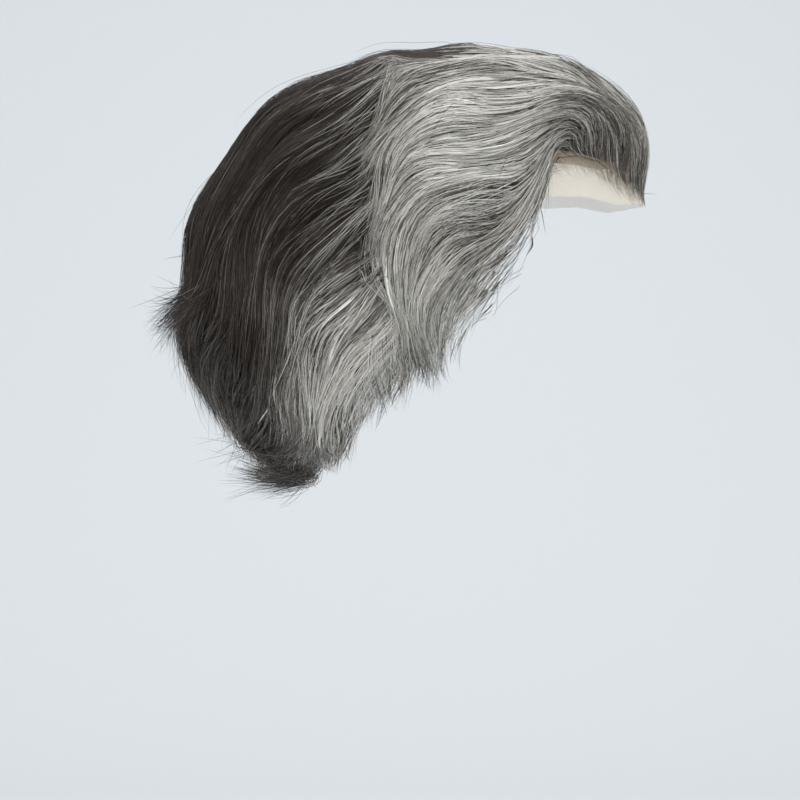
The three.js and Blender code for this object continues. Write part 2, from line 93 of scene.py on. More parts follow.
COMB_LINES = (
    CombLine(Lay.SWEPT, (
        (102, -49), (103, -29), (94, -12), (75, 0), (49, 5), (26, 9), (13, 8), (-2, 5), (-13, 0),
        (-19, -6), (-21, -14), (-23, -24),
    )),
    CombLine(Lay.SWEPT, (
        (60, -3), (42, 1), (26, 4), (13, 1), (-2, -4), (-11, -10), (-14, -18), (-16, -28), (-19, -38),
        (-24, -52), (-29, -67),
    )),
    CombLine(Lay.SWEPT, (
        (101, -48), (99, -32), (90, -18), (76, -10), (57, -10), (46, -9), (26, -9), (11, -10),
        (-2, -15), (-9, -20), (-14, -26), (-16, -35), (-19, -47), (-21, -59), (-22, -76),
    )),
    CombLine(Lay.SWEPT, (
        (40, -22), (26, -21), (11, -22), (-2, -25), (-11, -29), (-15, -36), (-18, -47), (-20, -62),
        (-20, -77), (-21, -92),
    )),
    CombLine(Lay.SWEPT, (
        (92, -52), (93, -38), (88, -25), (79, -17), (68, -15), (57, -21), (45, -31), (26, -35),
        (11, -33), (-2, -36), (-11, -41), (-16, -50), (-18, -62), (-19, -77), (-20, -94),
    )),
    CombLine(Lay.SWEPT, (
        (81, -45), (82, -36), (79, -27), (72, -22), (64, -23), (57, -30), (52, -38), (44, -46),
        (26, -47), (11, -45), (-2, -47), (-11, -53), (-16, -62), (-18, -76), (-18, -94),
    )),
    CombLine(Lay.SWEPT, (
        (73, -42), (74, -35), (71, -29), (65, -28), (60, -33), (55, -41), (49, -50), (40, -60),
        (26, -62), (11, -58), (-2, -62), (-9, -70), (-15, -80), (-16, -94), (-15, -107),
    )),
    CombLine(Lay.SWEPT, (
        (36, -72), (26, -70), (13, -71), (3, -77), (-4, -88), (-5, -107), (-2, -120),
    )),
    CombLine(Lay.SWEPT, (
        (64, -42), (64, -37), (61, -36), (58, -42), (55, -52), (48, -65), (33, -77), (15, -86),
        (2, -100), (-2, -116), (1, -132),
    )),
    CombLine(Lay.SWEPT, (
        (56, -54), (52, -72), (39, -89), (24, -102), (12, -116), (8, -132), (10, -148),
    )),
    CombLine(Lay.SWEPT, (
        (55, -63), (51, -84), (42, -100), (29, -114), (18, -127), (13, -144), (17, -157),
    )),
    CombLine(Lay.SWEPT, (
        (-18, -3), (-22, -14), (-24, -29), (-24, -45), (-24, -61), (-22, -79), (-18, -98), (-14, -116),
        (-15, -132),
    )),
    CombLine(Lay.FALLING, (
        (22, 11), (-1, 9), (-17, 6), (-36, -2), (-57, -9), (-77, -25), (-93, -45), (-105, -68),
        (-109, -91), (-114, -107), (-125, -117),
    )),
    CombLine(Lay.FALLING, (
        (-11, 5), (-24, -3), (-45, -11), (-66, -24), (-82, -42), (-94, -63), (-100, -84), (-100, -102),
        (-109, -116), (-121, -123),
    )),
    CombLine(Lay.FALLING, (
        (-17, -6), (-29, -17), (-47, -26), (-65, -40), (-80, -58), (-88, -79), (-90, -100), (-91, -118),
        (-103, -132), (-115, -137),
    )),
    CombLine(Lay.FALLING, (
        (-21, -22), (-34, -35), (-51, -45), (-66, -56), (-76, -72), (-80, -91), (-80, -109),
        (-77, -127), (-82, -144), (-100, -150),
    )),
    CombLine(Lay.FALLING, (
        (-22, -42), (-34, -54), (-51, -59), (-63, -70), (-71, -86), (-74, -107), (-71, -127),
        (-68, -146), (-74, -160), (-92, -164),
    )),
    CombLine(Lay.FALLING, (
        (-23, -61), (-34, -72), (-46, -79), (-58, -91), (-65, -107), (-68, -125), (-66, -144),
        (-62, -160), (-68, -171), (-84, -171),
    )),
    CombLine(Lay.FALLING, (
        (-20, -79), (-31, -89), (-44, -98), (-54, -111), (-59, -127), (-59, -146), (-57, -162),
        (-58, -173), (-70, -181), (-82, -178),
    )),
    CombLine(Lay.FALLING, (
        (-16, -93), (-29, -104), (-43, -115), (-51, -127), (-53, -144), (-51, -160), (-48, -173),
        (-46, -181),
    )),
    CombLine(Lay.FALLING, (
        (-12, -111), (-22, -123), (-34, -131), (-42, -144), (-45, -157), (-43, -171), (-40, -180),
    )),
    CombLine(Lay.FALLING, (
        (-7, -123), (-15, -134), (-24, -143), (-33, -153), (-36, -164), (-37, -176),
    )),
    CombLine(Lay.FALLING, (
        (-2, -132), (-8, -141), (-16, -149), (-23, -156), (-31, -167),
    )),
    CombLine(Lay.FALLING, (
        (-57, -171), (-61, -180), (-73, -189), (-90, -193),
    )),
    CombLine(Lay.FALLING, (
        (-52, -178), (-57, -187), (-68, -195),
    )),
)


def unit(vectors: np.ndarray) -> np.ndarray:
    """Scales vectors to length one.

    Args:
        vectors: Any array whose last axis holds the components.

    Returns:
        The array with each vector at length one.
    """
    return vectors / np.maximum(np.linalg.norm(vectors, axis=-1, keepdims=True), 1e-12)


def smoothstep(low: float, high: float, values: np.ndarray) -> np.ndarray:
    """Rises smoothly from 0 at low to 1 at high.

    Args:
        low: Where the step starts.
        high: Where it ends.
        values: The values to map.

    Returns:
        The mapped values, from 0 to 1.
    """
    share = np.clip((values - low) / (high - low), 0.0, 1.0)
    return share * share * (3.0 - 2.0 * share)


class HeadChart:
    """An equal-area chart of the directions round the ear axis, centred behind the crown.

    Its rim lies in the open face, so no seam runs through the hair.
    """

    CELLS = 221
    REACH = 1.86
    MIDDLE_TURN = math.radians(131)

    def __init__(self) -> None:
        """Sets the chart's pole and its two axes, and lists the direction of each cell."""
        self.pole = np.array([math.cos(self.MIDDLE_TURN), 0.0, math.sin(self.MIDDLE_TURN)])
        self.across = np.array([0.0, 1.0, 0.0])
        self.ahead = np.cross(self.across, self.pole)
        marks = np.linspace(-self.REACH, self.REACH, self.CELLS)
        grid = np.stack(np.meshgrid(marks, marks, indexing="ij"), axis=-1)
        self.directions = self.direction(grid.reshape(-1, 2)).reshape(self.CELLS, self.CELLS, 3)

    def direction(self, plane: np.ndarray) -> np.ndarray:
        """Turns points of the chart into directions.

        Args:
            plane: Points of the chart, two numbers each.

        Returns:
            Unit directions from the ear axis.
        """
        square = np.minimum((plane ** 2).sum(axis=-1, keepdims=True), 3.99)
        sideways = plane[..., :1] * self.ahead + plane[..., 1:] * self.across
        return unit(self.pole * (1.0 - square / 2.0) + sideways * np.sqrt(1.0 - square / 4.0))

    def plane(self, directions: np.ndarray) -> np.ndarray:
        """Turns directions into points of the chart.

        Args:
            directions: Unit directions from the ear axis.

        Returns:
            Points of the chart, two numbers each.
        """
        scale = np.sqrt(2.0 / np.maximum(1.0 + directions @ self.pole, 1e-4))
        return np.stack([scale * (directions @ self.ahead), scale * (directions @ self.across)], axis=-1)

    def read(self, values: np.ndarray, directions: np.ndarray) -> np.ndarray:
        """Reads a field of the chart between its cells.

        Args:
            values: The field, one value or vector a cell.
            directions: Unit directions to read it at.

        Returns:
            The field's value at each direction.
        """
        at = (self.plane(directions) + self.REACH) / (2 * self.REACH) * (self.CELLS - 1)
        at = np.clip(at, 0, self.CELLS - 1.001)
        low = at.astype(int)
        share = at - low
        if values.ndim == 3:
            share = share[..., None]
            first, second = share[..., 0, :], share[..., 1, :]
        else:
            first, second = share[..., 0], share[..., 1]
        i, j = low[..., 0], low[..., 1]
        near = values[i, j] * (1 - second) + values[i, j + 1] * second
        far = values[i + 1, j] * (1 - second) + values[i + 1, j + 1] * second
        return near * (1 - first) + far * first


def blurred(values: np.ndarray, passes: int) -> np.ndarray:
    """Softens a field of the chart.

    Args:
        values: The field.
        passes: How often each cell is averaged with its neighbours.

    Returns:
        The softened field.
    """
    soft = values.copy()
    for _ in range(passes):
        for axis in (0, 1):
            soft = (np.roll(soft, 1, axis) + 2 * soft + np.roll(soft, -1, axis)) / 4
    return soft


def widened(values: np.ndarray, cells: int) -> np.ndarray:
    """Spreads the highest values of a field over their neighbours.

    Args:
        values: The field.
        cells: How far they spread.

    Returns:
        The widened field.
    """
    wide = values
    for _ in range(cells):
        wide = np.maximum.reduce([np.roll(wide, step, axis) for axis in (0, 1) for step in (-1, 0, 1)])
    return wide


def narrowed(values: np.ndarray) -> np.ndarray:
    """Spreads the lowest values of a field one cell over their neighbours.

    Args:
        values: The field.

    Returns:
        The narrowed field.
    """
    return np.minimum.reduce([np.roll(values, step, axis) for axis in (0, 1) for step in (-1, 0, 1)])


def opened(values: np.ndarray, cells: int) -> np.ndarray:
    """Takes narrow peaks off a field, by its lowest and then its highest neighbours.

    Args:
        values: The field.
        cells: Half the width of the peaks that go.

    Returns:
        The field without them.
    """
    flat = values.copy()
    for pick in (np.minimum, np.maximum):
        for axis in (0, 1):
            moved = [np.roll(flat, step, axis) for step in range(-cells, cells + 1)]
            flat = pick.reduce(moved)
    return flat


@dataclass(frozen=True)
class Settling:
    """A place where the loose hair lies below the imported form, by its turn in degrees."""

    turn: float
    depth: float
    spread: float


SETTLED = (
    Settling(turn=84, depth=0.0030, spread=9.0),
    Settling(turn=159, depth=0.0022, spread=9.0),
    Settling(turn=-153, depth=0.0055, spread=6.0),
    Settling(turn=-141, depth=0.0095, spread=7.0),
)


class HairForm:
    """The combed form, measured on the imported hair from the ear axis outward."""

    CAST_FROM = 0.25
    PEAK_CELLS = 7
    SOFTENING = 2
    SAMPLE_STEP = 0.004
    NEAR_LINE = 0.005
    TAIL_TOP = (-0.180, -0.170)
    SETTLED_SIDEWAYS = (0.75, 0.25)
    FLOW_SOFTENING = 3
    MIDDLE_BAND = 0.040
    MIDDLE_STRAIGHTNESS = 0.85
    NAPE_BAND = (0.052, 0.015)
    NAPE_LEVEL = (-0.100, -0.140)

    def __init__(self, nodes: dict[str, bpy.types.Object]) -> None:
        """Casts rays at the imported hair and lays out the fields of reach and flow.

        Args:
            nodes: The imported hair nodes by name.
        """
        self.chart = HeadChart()
        self.names = list(nodes)
        vertices: list[Vector] = []
        faces: list[tuple[int, ...]] = []
        self.owners: list[int] = []
        for number, node in enumerate(nodes.values()):
            first = len(vertices)
            vertices.extend(vertex.co.copy() for vertex in node.data.vertices)
            for polygon in node.data.polygons:
                faces.append(tuple(first + index for index in polygon.vertices))
                self.owners.append(number)
        self.tree = BVHTree.FromPolygons(vertices, faces)
        self._measure()
        self.flow = {lay: self._flow(lay) for lay in Lay}

    def _measure(self) -> None:
        """Fills the fields of outer reach, inner reach and owner."""
        size = self.chart.CELLS
        outer = np.full((size, size), np.nan)
        inner = np.full((size, size), np.nan)
        owner = np.full((size, size), -1)
        centre = Vector(EAR_AXIS)
        for i in range(size):
            for j in range(size):
                way = Vector(self.chart.directions[i, j])
                outside = centre + way * self.CAST_FROM
                hit, _, face, distance = self.tree.ray_cast(outside, -way, self.CAST_FROM)
                if hit is None:
                    continue
                outer[i, j] = self.CAST_FROM - distance
                owner[i, j] = self.owners[face]
                inner[i, j] = self.tree.ray_cast(centre, way, self.CAST_FROM)[3]
        self.owner = owner
        self.covered = (owner >= 0).astype(float)
        outer, inner = self._filled(outer), self._filled(inner)
        outer = outer - self._settling()
        above_tail = smoothstep(*self.TAIL_TOP, EAR_AXIS[2] + self.chart.directions[..., 2] * outer)
        nape = blurred((owner == self.names.index("nape_hair")).astype(float), 3) * above_tail
        even = outer + nape * (opened(outer, self.PEAK_CELLS) - outer)
        hull = outer + nape * (-opened(-outer, self.PEAK_CELLS) - outer)
        self.outer = blurred(even, self.SOFTENING)
        self.inner = blurred(inner, self.SOFTENING)
        self.curl = np.maximum(blurred(hull, self.SOFTENING + 2) - self.outer, 0.0) * nape
        points = EAR_AXIS + self.chart.directions * self.outer[..., None]
        across = np.cross(np.gradient(points, axis=0), np.gradient(points, axis=1))
        facing = np.sign((across * self.chart.directions).sum(axis=-1, keepdims=True))
        self.normal = unit(across * facing)

    def _settling(self) -> np.ndarray:
        """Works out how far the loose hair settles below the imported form.

        Returns:
            The lowering of each cell.
        """
        turn = np.degrees(np.arctan2(self.chart.directions[..., 2], self.chart.directions[..., 0]))
        middle = smoothstep(*self.SETTLED_SIDEWAYS, np.abs(self.chart.directions[..., 1]))
        lower = np.zeros_like(turn)
        for place in SETTLED:
            off = (turn - place.turn + 180) % 360 - 180
            lower += place.depth * np.exp(-(off / place.spread) ** 2)
        return lower * middle

    @staticmethod
    def _filled(values: np.ndarray) -> np.ndarray:
        """Carries a field on into the cells that have none.

        Args:
            values: The field, nan where it has no value.

        Returns:
            The field with a value in every cell.
        """
        full = values.copy()
        while np.isnan(full).any():
            around = np.stack([np.roll(full, step, axis) for axis in (0, 1) for step in (-1, 1)])
            known = ~np.isnan(around)
            mean = np.where(known, around, 0.0).sum(axis=0) / np.maximum(known.sum(axis=0), 1)
            full = np.where(np.isnan(full) & known.any(axis=0), mean, full)
        return full

    def on_surface(self, directions: np.ndarray) -> np.ndarray:
        """Gives the points of the outer surface in some directions.

        Args:
            directions: Unit directions from the ear axis.

        Returns:
            Points on the combed surface.
        """
        return EAR_AXIS + directions * self.chart.read(self.outer, directions)[..., None]

    def _line(self, line: CombLine) -> tuple[np.ndarray, np.ndarray]:
        """Lays a comb line on the right side of the hair.

        Args:
            line: The comb line of the side view.

        Returns:
            Points along it and the way it runs at each.
        """
        marks = np.array(line.points, float) * MM
        length = np.concatenate([[0], np.cumsum(np.linalg.norm(np.diff(marks, axis=0), axis=1))])
        along = np.linspace(0, length[-1], max(4, int(length[-1] / self.SAMPLE_STEP)))
        x, z = np.interp(along, length, marks[:, 0]), np.interp(along, length, marks[:, 1])
        y = np.zeros_like(x)
        for k in range(len(x)):
            outside = Vector((x[k], -self.CAST_FROM, z[k]))
            hit = self.tree.ray_cast(outside, Vector((0, 1, 0)), self.CAST_FROM)[0]
            y[k] = hit.y if hit is not None else 0.0
        for _ in range(3):
            y[1:-1] = (y[:-2] + 2 * y[1:-1] + y[2:]) / 4
        points = self.on_surface(unit(np.stack([x, y, z], axis=1) - EAR_AXIS))
        return points, unit(np.gradient(points, axis=0))

    def _flow(self, lay: Lay) -> np.ndarray:
        """Spreads the comb lines of one lay over the chart.

        Args:
            lay: The way of combing.

        Returns:
            The way the hair runs at each cell.
        """
        points, ways = [], []
        for line in COMB_LINES:
            if line.lay is lay:
                right, way = self._line(line)
                points += [right, right * [1, -1, 1]]
                ways += [way, way * [1, -1, 1]]
        line_points, line_ways = np.concatenate(points), np.concatenate(ways)
        cells = self.on_surface(self.chart.directions).reshape(-1, 3)
        flow = np.zeros_like(cells)
        for first in range(0, len(cells), 2 * BATCH):
            part = cells[first:first + 2 * BATCH]
            square = ((part[:, None, :] - line_points[None]) ** 2).sum(axis=-1)
            weight = 1.0 / (square + self.NEAR_LINE ** 2) ** 2
            flow[first:first + 2 * BATCH] = weight @ line_ways
        flow = unit(flow)
        sideways = np.abs(cells[:, 1])
        flow[:, 1] *= 1 - self.MIDDLE_STRAIGHTNESS * smoothstep(self.MIDDLE_BAND, 0.0, sideways)
        if lay is Lay.FALLING:
            nape = smoothstep(*self.NAPE_BAND, sideways) * smoothstep(*self.NAPE_LEVEL, cells[:, 2])
            flow += nape[:, None] * self.MIDDLE_STRAIGHTNESS * ([0, 0, -1] - flow)
        return unit(blurred(unit(flow).reshape(self.chart.CELLS, self.chart.CELLS, 3), self.FLOW_SOFTENING))

    def ripple(self, points: np.ndarray) -> np.ndarray:
        """Gives the sideways lean that neighbouring hairs share.

        Args:
            points: Points on the hair.

        Returns:
            The lean at each point, as a share of the step.
        """
        lean = np.zeros(points.shape[:-1])
        for ripple in RIPPLES:
            lean += ripple.size * np.sin(points @ np.array(ripple.turn) * 1000.0 + ripple.start)
        return lean

    def comb(self, starts: np.ndarray, lay: Lay, steps: int, step: float, sway: np.ndarray) -> np.ndarray:
        """Follows the hair from its roots.

        Args:
            starts: Unit directions of the roots.
            lay: The way of combing.
            steps: How many steps to take.
            step: The length of a step.
            sway: How far each strand strays sideways at each step, as a share of the step.

        Returns:
            Unit directions along each strand.
        """
        ways = [starts]
        for k in range(steps):
            here = ways[-1]
            flow = unit(self.chart.read(self.flow[lay], here))
            aside = unit(np.cross(flow, here))
            place = self.on_surface(here)
            lean = sway[:, k] + self.ripple(place * [1, 0, 1])
            point = place + step * unit(flow + aside * lean[:, None])
            ways.append(unit(point - EAR_AXIS))
        return np.stack(ways, axis=1)

    def area(self, owners: set[str]) -> np.ndarray:
        """Marks the cells of some nodes.

        Args:
            owners: The nodes' names.

        Returns:
            1 in the nodes' cells and 0 elsewhere.
        """
        return np.isin(self.owner, [self.names.index(name) for name in owners]).astype(float)

    def near(self, owners: set[str], cells: int, spill: int = 0) -> np.ndarray:
        """Marks the covered cells within some cells of some nodes.

        Args:
            owners: The nodes' names.
            cells: How many cells round them count.
            spill: How many cells past the hair's edge count as well.

        Returns:
            True in those cells.
        """
        around = (widened(self.area(owners), cells) > 0) & (self.covered > 0)
        return around | (widened(self.area(owners), spill) > 0)

    def roots(self, count: int, density: np.ndarray, side: int, draw: np.random.Generator) -> np.ndarray:
        """Draws roots over the surface.

        Args:
            count: How many.
            density: How thickly each cell is rooted, 0 for none.
            side: -1 for the right of the head, 1 for the left and 0 for both.
            draw: The source of chance.

        Returns:
            Unit directions of the roots.
        """
        wanted = (density > 0) & (self.chart.directions[..., 1] * side >= 0)
        cells = np.argwhere(wanted)
        weight = density[wanted] / density[wanted].sum()
        pick = cells[draw.choice(len(cells), count, p=weight)] + draw.uniform(-0.5, 0.5, (count, 2))
        return self.chart.direction(pick / (self.chart.CELLS - 1) * 2 * self.chart.REACH - self.chart.REACH)


@dataclass(frozen=True)
class Ripple:
    """One wave of the lean that neighbouring hairs share, by its turn for each millimetre."""

    size: float
    turn: tuple[float, float, float]
    start: float


RIPPLES = (
    Ripple(size=0.12, turn=(0.14, 0.0, 0.11), start=0.4),
    Ripple(size=0.11, turn=(-0.17, 0.0, 0.13), start=2.1),
    Ripple(size=0.09, turn=(0.06, 0.0, 0.21), start=4.0),
    Ripple(size=0.07, turn=(0.27, 0.0, -0.16), start=1.2),
)


class Kind(Enum):
    """How wide and thick a strand is."""

    LOCK = "a flat lock of many hairs"
    STRAND = "a fine strand"
    WISP = "a thin loose strand"
    STRAY = "a single hair that strays"


class Chance(IntEnum):
    """What each of a strand's own random numbers is for."""

    LEAN = 0
    PHASE = 1
    LENGTH = 2
    PAST_EDGE = 3
    PULL = 4
    DEPTH = 5
    WIDTH = 6
    TILT = 7
    TUCK = 8
    FAN = 9


class Shared(IntEnum):
    """What each random number that the strands of a clump share is for."""

    LEAN = 0
    PHASE = 1
    DEPTH = 2
    TONE = 3
    WAVE = 4
    RISE = 5


def tapered(share: np.ndarray, tip: float) -> np.ndarray:
    """Narrows a strand at its root and its tip.

    Args:
        share: Shares of the strand's length.
        tip: The power by which it narrows to its tip.

    Returns:
        The share of the full width at each point.
    """
    return np.minimum(1.0, 0.45 + 2.5 * share) * np.clip(1 - share ** tip, 0, 1)


@dataclass(frozen=True)
class Cut:
    """Sizes of one kind of strand.

    Attributes:
        points: How many points its centre line has.
        width: Its least and greatest width.
        height: Its thickness.
        hairs: How many hairs are drawn across it.
        depth: How far it lies below the combed surface, least and most.
        tip: The power by which it narrows to its tip.
        loose: How far its tip strays.
        short: How far before the hair's edge it ends.
    """

    points: int
    width: tuple[float, float]
    height: float
    hairs: float
    depth: tuple[float, float]
    tip: float = 3.5
    loose: float = 0.0004
    short: float = 0.0

    def heights(self, taper: np.ndarray, count: int) -> np.ndarray:
        """Gives the thickness along some strands.

        Args:
            taper: The share of the full width at each point.
            count: How many strands.

        Returns:
            The thickness at each point of each strand.
        """
        return np.repeat((self.height * (0.3 + 0.7 * taper))[None], count, axis=0)


CUTS = {
    Kind.LOCK: Cut(points=10, width=(0.0008, 0.0017), height=0.00013, hairs=6.0,
                   depth=(0.0004, 0.0020), tip=2.2, short=0.014),
    Kind.STRAND: Cut(points=9, width=(0.00022, 0.00039), height=0.00018, hairs=0.98,
                     depth=(0.0, 0.0012)),
    Kind.WISP: Cut(points=9, width=(0.00014, 0.00024), height=0.00013, hairs=0.98,
                   depth=(-0.0004, 0.0006)),
    Kind.STRAY: Cut(points=10, width=(0.00013, 0.00020), height=0.00012, hairs=0.98,
                    depth=(-0.003, 0.0), loose=0.0030),
}

FRONT, CROWN, NAPE = "front_hair", "crown_hair", "nape_hair"
SIDES = ("side_hair_right", "side_hair_left")
SWIRLS = ("swirl_hair_right", "swirl_hair_left")


@dataclass(frozen=True)
class Area:
    """How the hair of one part of the head is combed.

    Attributes:
        nodes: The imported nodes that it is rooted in.
        onto: The nodes that it may lie on.
        lay: The way of combing.
        length: The least and greatest length.
        pull: How strongly strands gather to their clump, least and most.
        past: How far strands pass the edge of the nodes that they lie on.
        past_rim: How far they pass the edge of all the hair.
        flick: How far the tips turn out.
        root_spread: How many cells round the nodes are rooted too.
        tone: The lay whose tones colour it.
        raise_by: How far the tips rise over the surface.
        scatter: How widely the strands fan out.
        thin_edge: How much sparser the hair is at its edge.
        rim_only: The breadth of the only band that is rooted, 0 for all.
        darker: What the share of grey hairs is multiplied by.
        ragged: How much strands weave where silver meets dark.
        spill: How many cells past the hair's edge are rooted too.
    """

    nodes: tuple[str, ...]
    onto: tuple[str, ...]
    lay: Lay
    length: tuple[float, float]
    pull: tuple[float, float]
    past: tuple[float, float]
    past_rim: tuple[float, float] = (-0.006, 0.006)
    flick: float = 0.0
    root_spread: int = 0
    tone: Lay = Lay.FALLING
    raise_by: float = 0.0
    scatter: float = 0.10
    thin_edge: float = 0.0
    rim_only: float = 0.0
    darker: float = 1.0
    ragged: float = 0.0
    spill: int = 0


SWEPT_ONTO = (FRONT, *SIDES, *SWIRLS)
FALLING_ONTO = (CROWN, NAPE, *SWIRLS)
FRONT_AREA = Area(
    nodes=(FRONT,), onto=SWEPT_ONTO, lay=Lay.SWEPT, length=(0.050, 0.105), pull=(0.05, 0.45),
    past=(-0.006, 0.013), past_rim=(-0.030, 0.006), tone=Lay.SWEPT, thin_edge=0.5, ragged=1.3,
)
HAIRLINE_AREA = Area(
    nodes=(FRONT,), onto=SWEPT_ONTO, lay=Lay.SWEPT, length=(0.018, 0.052), pull=(0.0, 0.3),
    past=(-0.004, 0.004), tone=Lay.SWEPT, rim_only=0.014, scatter=0.22, darker=0.7, spill=2,
)
SIDE_AREA = Area(
    nodes=SIDES, onto=SWEPT_ONTO, lay=Lay.SWEPT, length=(0.030, 0.080), pull=(0.1, 0.6),
    past=(-0.006, 0.008), past_rim=(-0.026, 0.009), root_spread=4, tone=Lay.SWEPT, scatter=0.40,
    thin_edge=0.9,
)
CROWN_AREA = Area(
    nodes=(CROWN,), onto=FALLING_ONTO, lay=Lay.FALLING, length=(0.050, 0.100), pull=(0.05, 0.5),
    past=(-0.002, 0.010), root_spread=9,
)
SWIRL_AREA = Area(
    nodes=SWIRLS, onto=FALLING_ONTO, lay=Lay.FALLING, length=(0.030, 0.075), pull=(0.1, 0.65),
    past=(-0.006, 0.008), past_rim=(-0.016, 0.009), root_spread=8, scatter=0.42, thin_edge=0.6,
)
NAPE_AREA = Area(
    nodes=(NAPE,), onto=FALLING_ONTO, lay=Lay.FALLING, length=(0.045, 0.095), pull=(0.3, 0.9),
    past=(-0.004, 0.007), past_rim=(-0.005, 0.006), flick=0.004, root_spread=10, scatter=0.14,
)
NAPE_WISP_AREA = Area(
    nodes=(NAPE,), onto=FALLING_ONTO, lay=Lay.FALLING, length=(0.040, 0.095), pull=(0.0, 0.4),
    past=(0.0, 0.006), past_rim=(0.0, 0.008), flick=0.010, root_spread=6, scatter=0.6,
)
RIDGE_AREA = Area(
    nodes=(CROWN,), onto=(FRONT, *FALLING_ONTO), lay=Lay.FALLING, length=(0.018, 0.060),
    pull=(0.2, 0.8), past=(0.0, 0.0), root_spread=7, tone=Lay.SWEPT, raise_by=0.0012, scatter=0.7,
)
TEMPLE_AREA = Area(
    nodes=SIDES, onto=SWEPT_ONTO, lay=Lay.SWEPT, length=(0.030, 0.070), pull=(0.0, 0.2),
    past=(0.0, 0.010), past_rim=(0.0, 0.024), tone=Lay.SWEPT, scatter=1.1, darker=0.6,
)
STRAY_AREA = Area(
    nodes=(FRONT, CROWN, NAPE, *SIDES, *SWIRLS), onto=(*SWEPT_ONTO, *FALLING_ONTO), lay=Lay.FALLING,
    length=(0.030, 0.090), pull=(0.0, 0.3), past=(0.0, 0.006), past_rim=(0.0, 0.009), scatter=0.9,
)


@dataclass(frozen=True)
class Tress:
    """One piece of hair: where it is rooted and how many strands it has."""

    name: str
    area: Area
    slot: str
    side: int
    counts: dict[Kind, int]
    seed: int
    stands_for: tuple[str, ...]
    rooted_in: tuple[str, ...] = ()


TRESSES = (
    Tress(
        name="front_locks", area=FRONT_AREA, slot="hair_silver", side=0, counts={Kind.LOCK: 950},
        seed=11, stands_for=(FRONT,),
    ),
    Tress(
        name="front_strands_right", area=FRONT_AREA, slot="hair_silver", side=-1,
        counts={Kind.STRAND: 3550}, seed=12, stands_for=(FRONT,),
    ),
    Tress(
        name="front_strands_left", area=FRONT_AREA, slot="hair_silver", side=1,
        counts={Kind.STRAND: 1750}, seed=13, stands_for=(FRONT,),
    ),
    Tress(
        name="hairline_roots", area=HAIRLINE_AREA, slot="hair_silver", side=0, counts={Kind.WISP: 1400},
        seed=14, stands_for=(FRONT,),
    ),
    Tress(
        name="side_tress_right", area=SIDE_AREA, slot="hair_silver", side=-1,
        counts={Kind.LOCK: 80, Kind.STRAND: 850, Kind.WISP: 450}, seed=21, stands_for=SIDES[:1],
    ),
    Tress(
        name="side_tress_left", area=SIDE_AREA, slot="hair_silver", side=1,
        counts={Kind.LOCK: 80, Kind.STRAND: 500, Kind.WISP: 200}, seed=22, stands_for=SIDES[1:],
    ),
    Tress(
        name="crown_locks", area=CROWN_AREA, slot="hair_dark", side=0, counts={Kind.LOCK: 950}, seed=31,
        stands_for=(CROWN,),
    ),
    Tress(
        name="crown_strands_right", area=CROWN_AREA, slot="hair_dark", side=-1,
        counts={Kind.STRAND: 2100}, seed=32, stands_for=(CROWN,),
    ),
    Tress(
        name="crown_strands_left", area=CROWN_AREA, slot="hair_dark", side=1,
        counts={Kind.STRAND: 1100}, seed=33, stands_for=(CROWN,),
    ),
    Tress(
        name="swirl_tress_right", area=SWIRL_AREA, slot="hair_ash", side=-1,
        counts={Kind.LOCK: 60, Kind.STRAND: 950, Kind.WISP: 450}, seed=41, stands_for=SWIRLS[:1],
    ),
    Tress(
        name="swirl_tress_left", area=SWIRL_AREA, slot="hair_ash", side=1,
        counts={Kind.LOCK: 60, Kind.STRAND: 500, Kind.WISP: 200}, seed=42, stands_for=SWIRLS[1:],
    ),
    Tress(
        name="nape_tress", area=NAPE_AREA, slot="hair_dark", side=0,
        counts={Kind.LOCK: 180, Kind.STRAND: 1750}, seed=51, stands_for=(NAPE,),
    ),
    Tress(
        name="ridge_wisps", area=RIDGE_AREA, slot="hair_silver", side=0, counts={Kind.WISP: 420},
        seed=61, stands_for=(), rooted_in=(FRONT,),
    ),
    Tress(
        name="nape_wisps", area=NAPE_WISP_AREA, slot="hair_dark", side=0, counts={Kind.WISP: 420},
        seed=63, stands_for=(),
    ),
    Tress(
        name="temple_wisps", area=TEMPLE_AREA, slot="hair_silver", side=0, counts={Kind.WISP: 110},
        seed=64, stands_for=(),
    ),
    Tress(
        name="stray_hairs", area=STRAY_AREA, slot="hair_dark", side=0, counts={Kind.STRAY: 130},
        seed=65, stands_for=(),
    ),
)


@dataclass(frozen=True)
class Curl:
    """A row of strands that bend out from the nape.

    Each strand runs through three places, given by the turn round the ear axis in degrees
    and the height over the combed surface.
    """

    name: str
    root: tuple[float, float]
    bend: tuple[float, float]
    tip: tuple[float, float]
    loose_turn: float
    loose_lift: float
    breadth: float
    counts: dict[Kind, int]
    seed: int
    looseness: tuple[float, float, float] = (0.6, 1.0, 1.5)
    loose_across: float = 0.03
    taper: float = 2.5
    length: float = 0.05


CURLS = (
    Curl(
        name="nape_tuft", root=(184, -0.004), bend=(191, 0.0050), tip=(193, 0.0165), loose_turn=2.4,
        loose_lift=0.0022, breadth=26, counts={Kind.STRAND: 240, Kind.WISP: 90}, seed=71,
    ),
    Curl(
        name="nape_tail", root=(239, -0.018), bend=(242, -0.002), tip=(229, 0.0125), loose_turn=2.0,
        loose_lift=0.0026, breadth=30, counts={Kind.STRAND: 330, Kind.WISP: 110}, seed=72,
    ),
)


@dataclass(frozen=True)
class Tone:
    """The share of grey hairs at a place of the side view, in millimetres."""

    x: float
    z: float
    grey: float


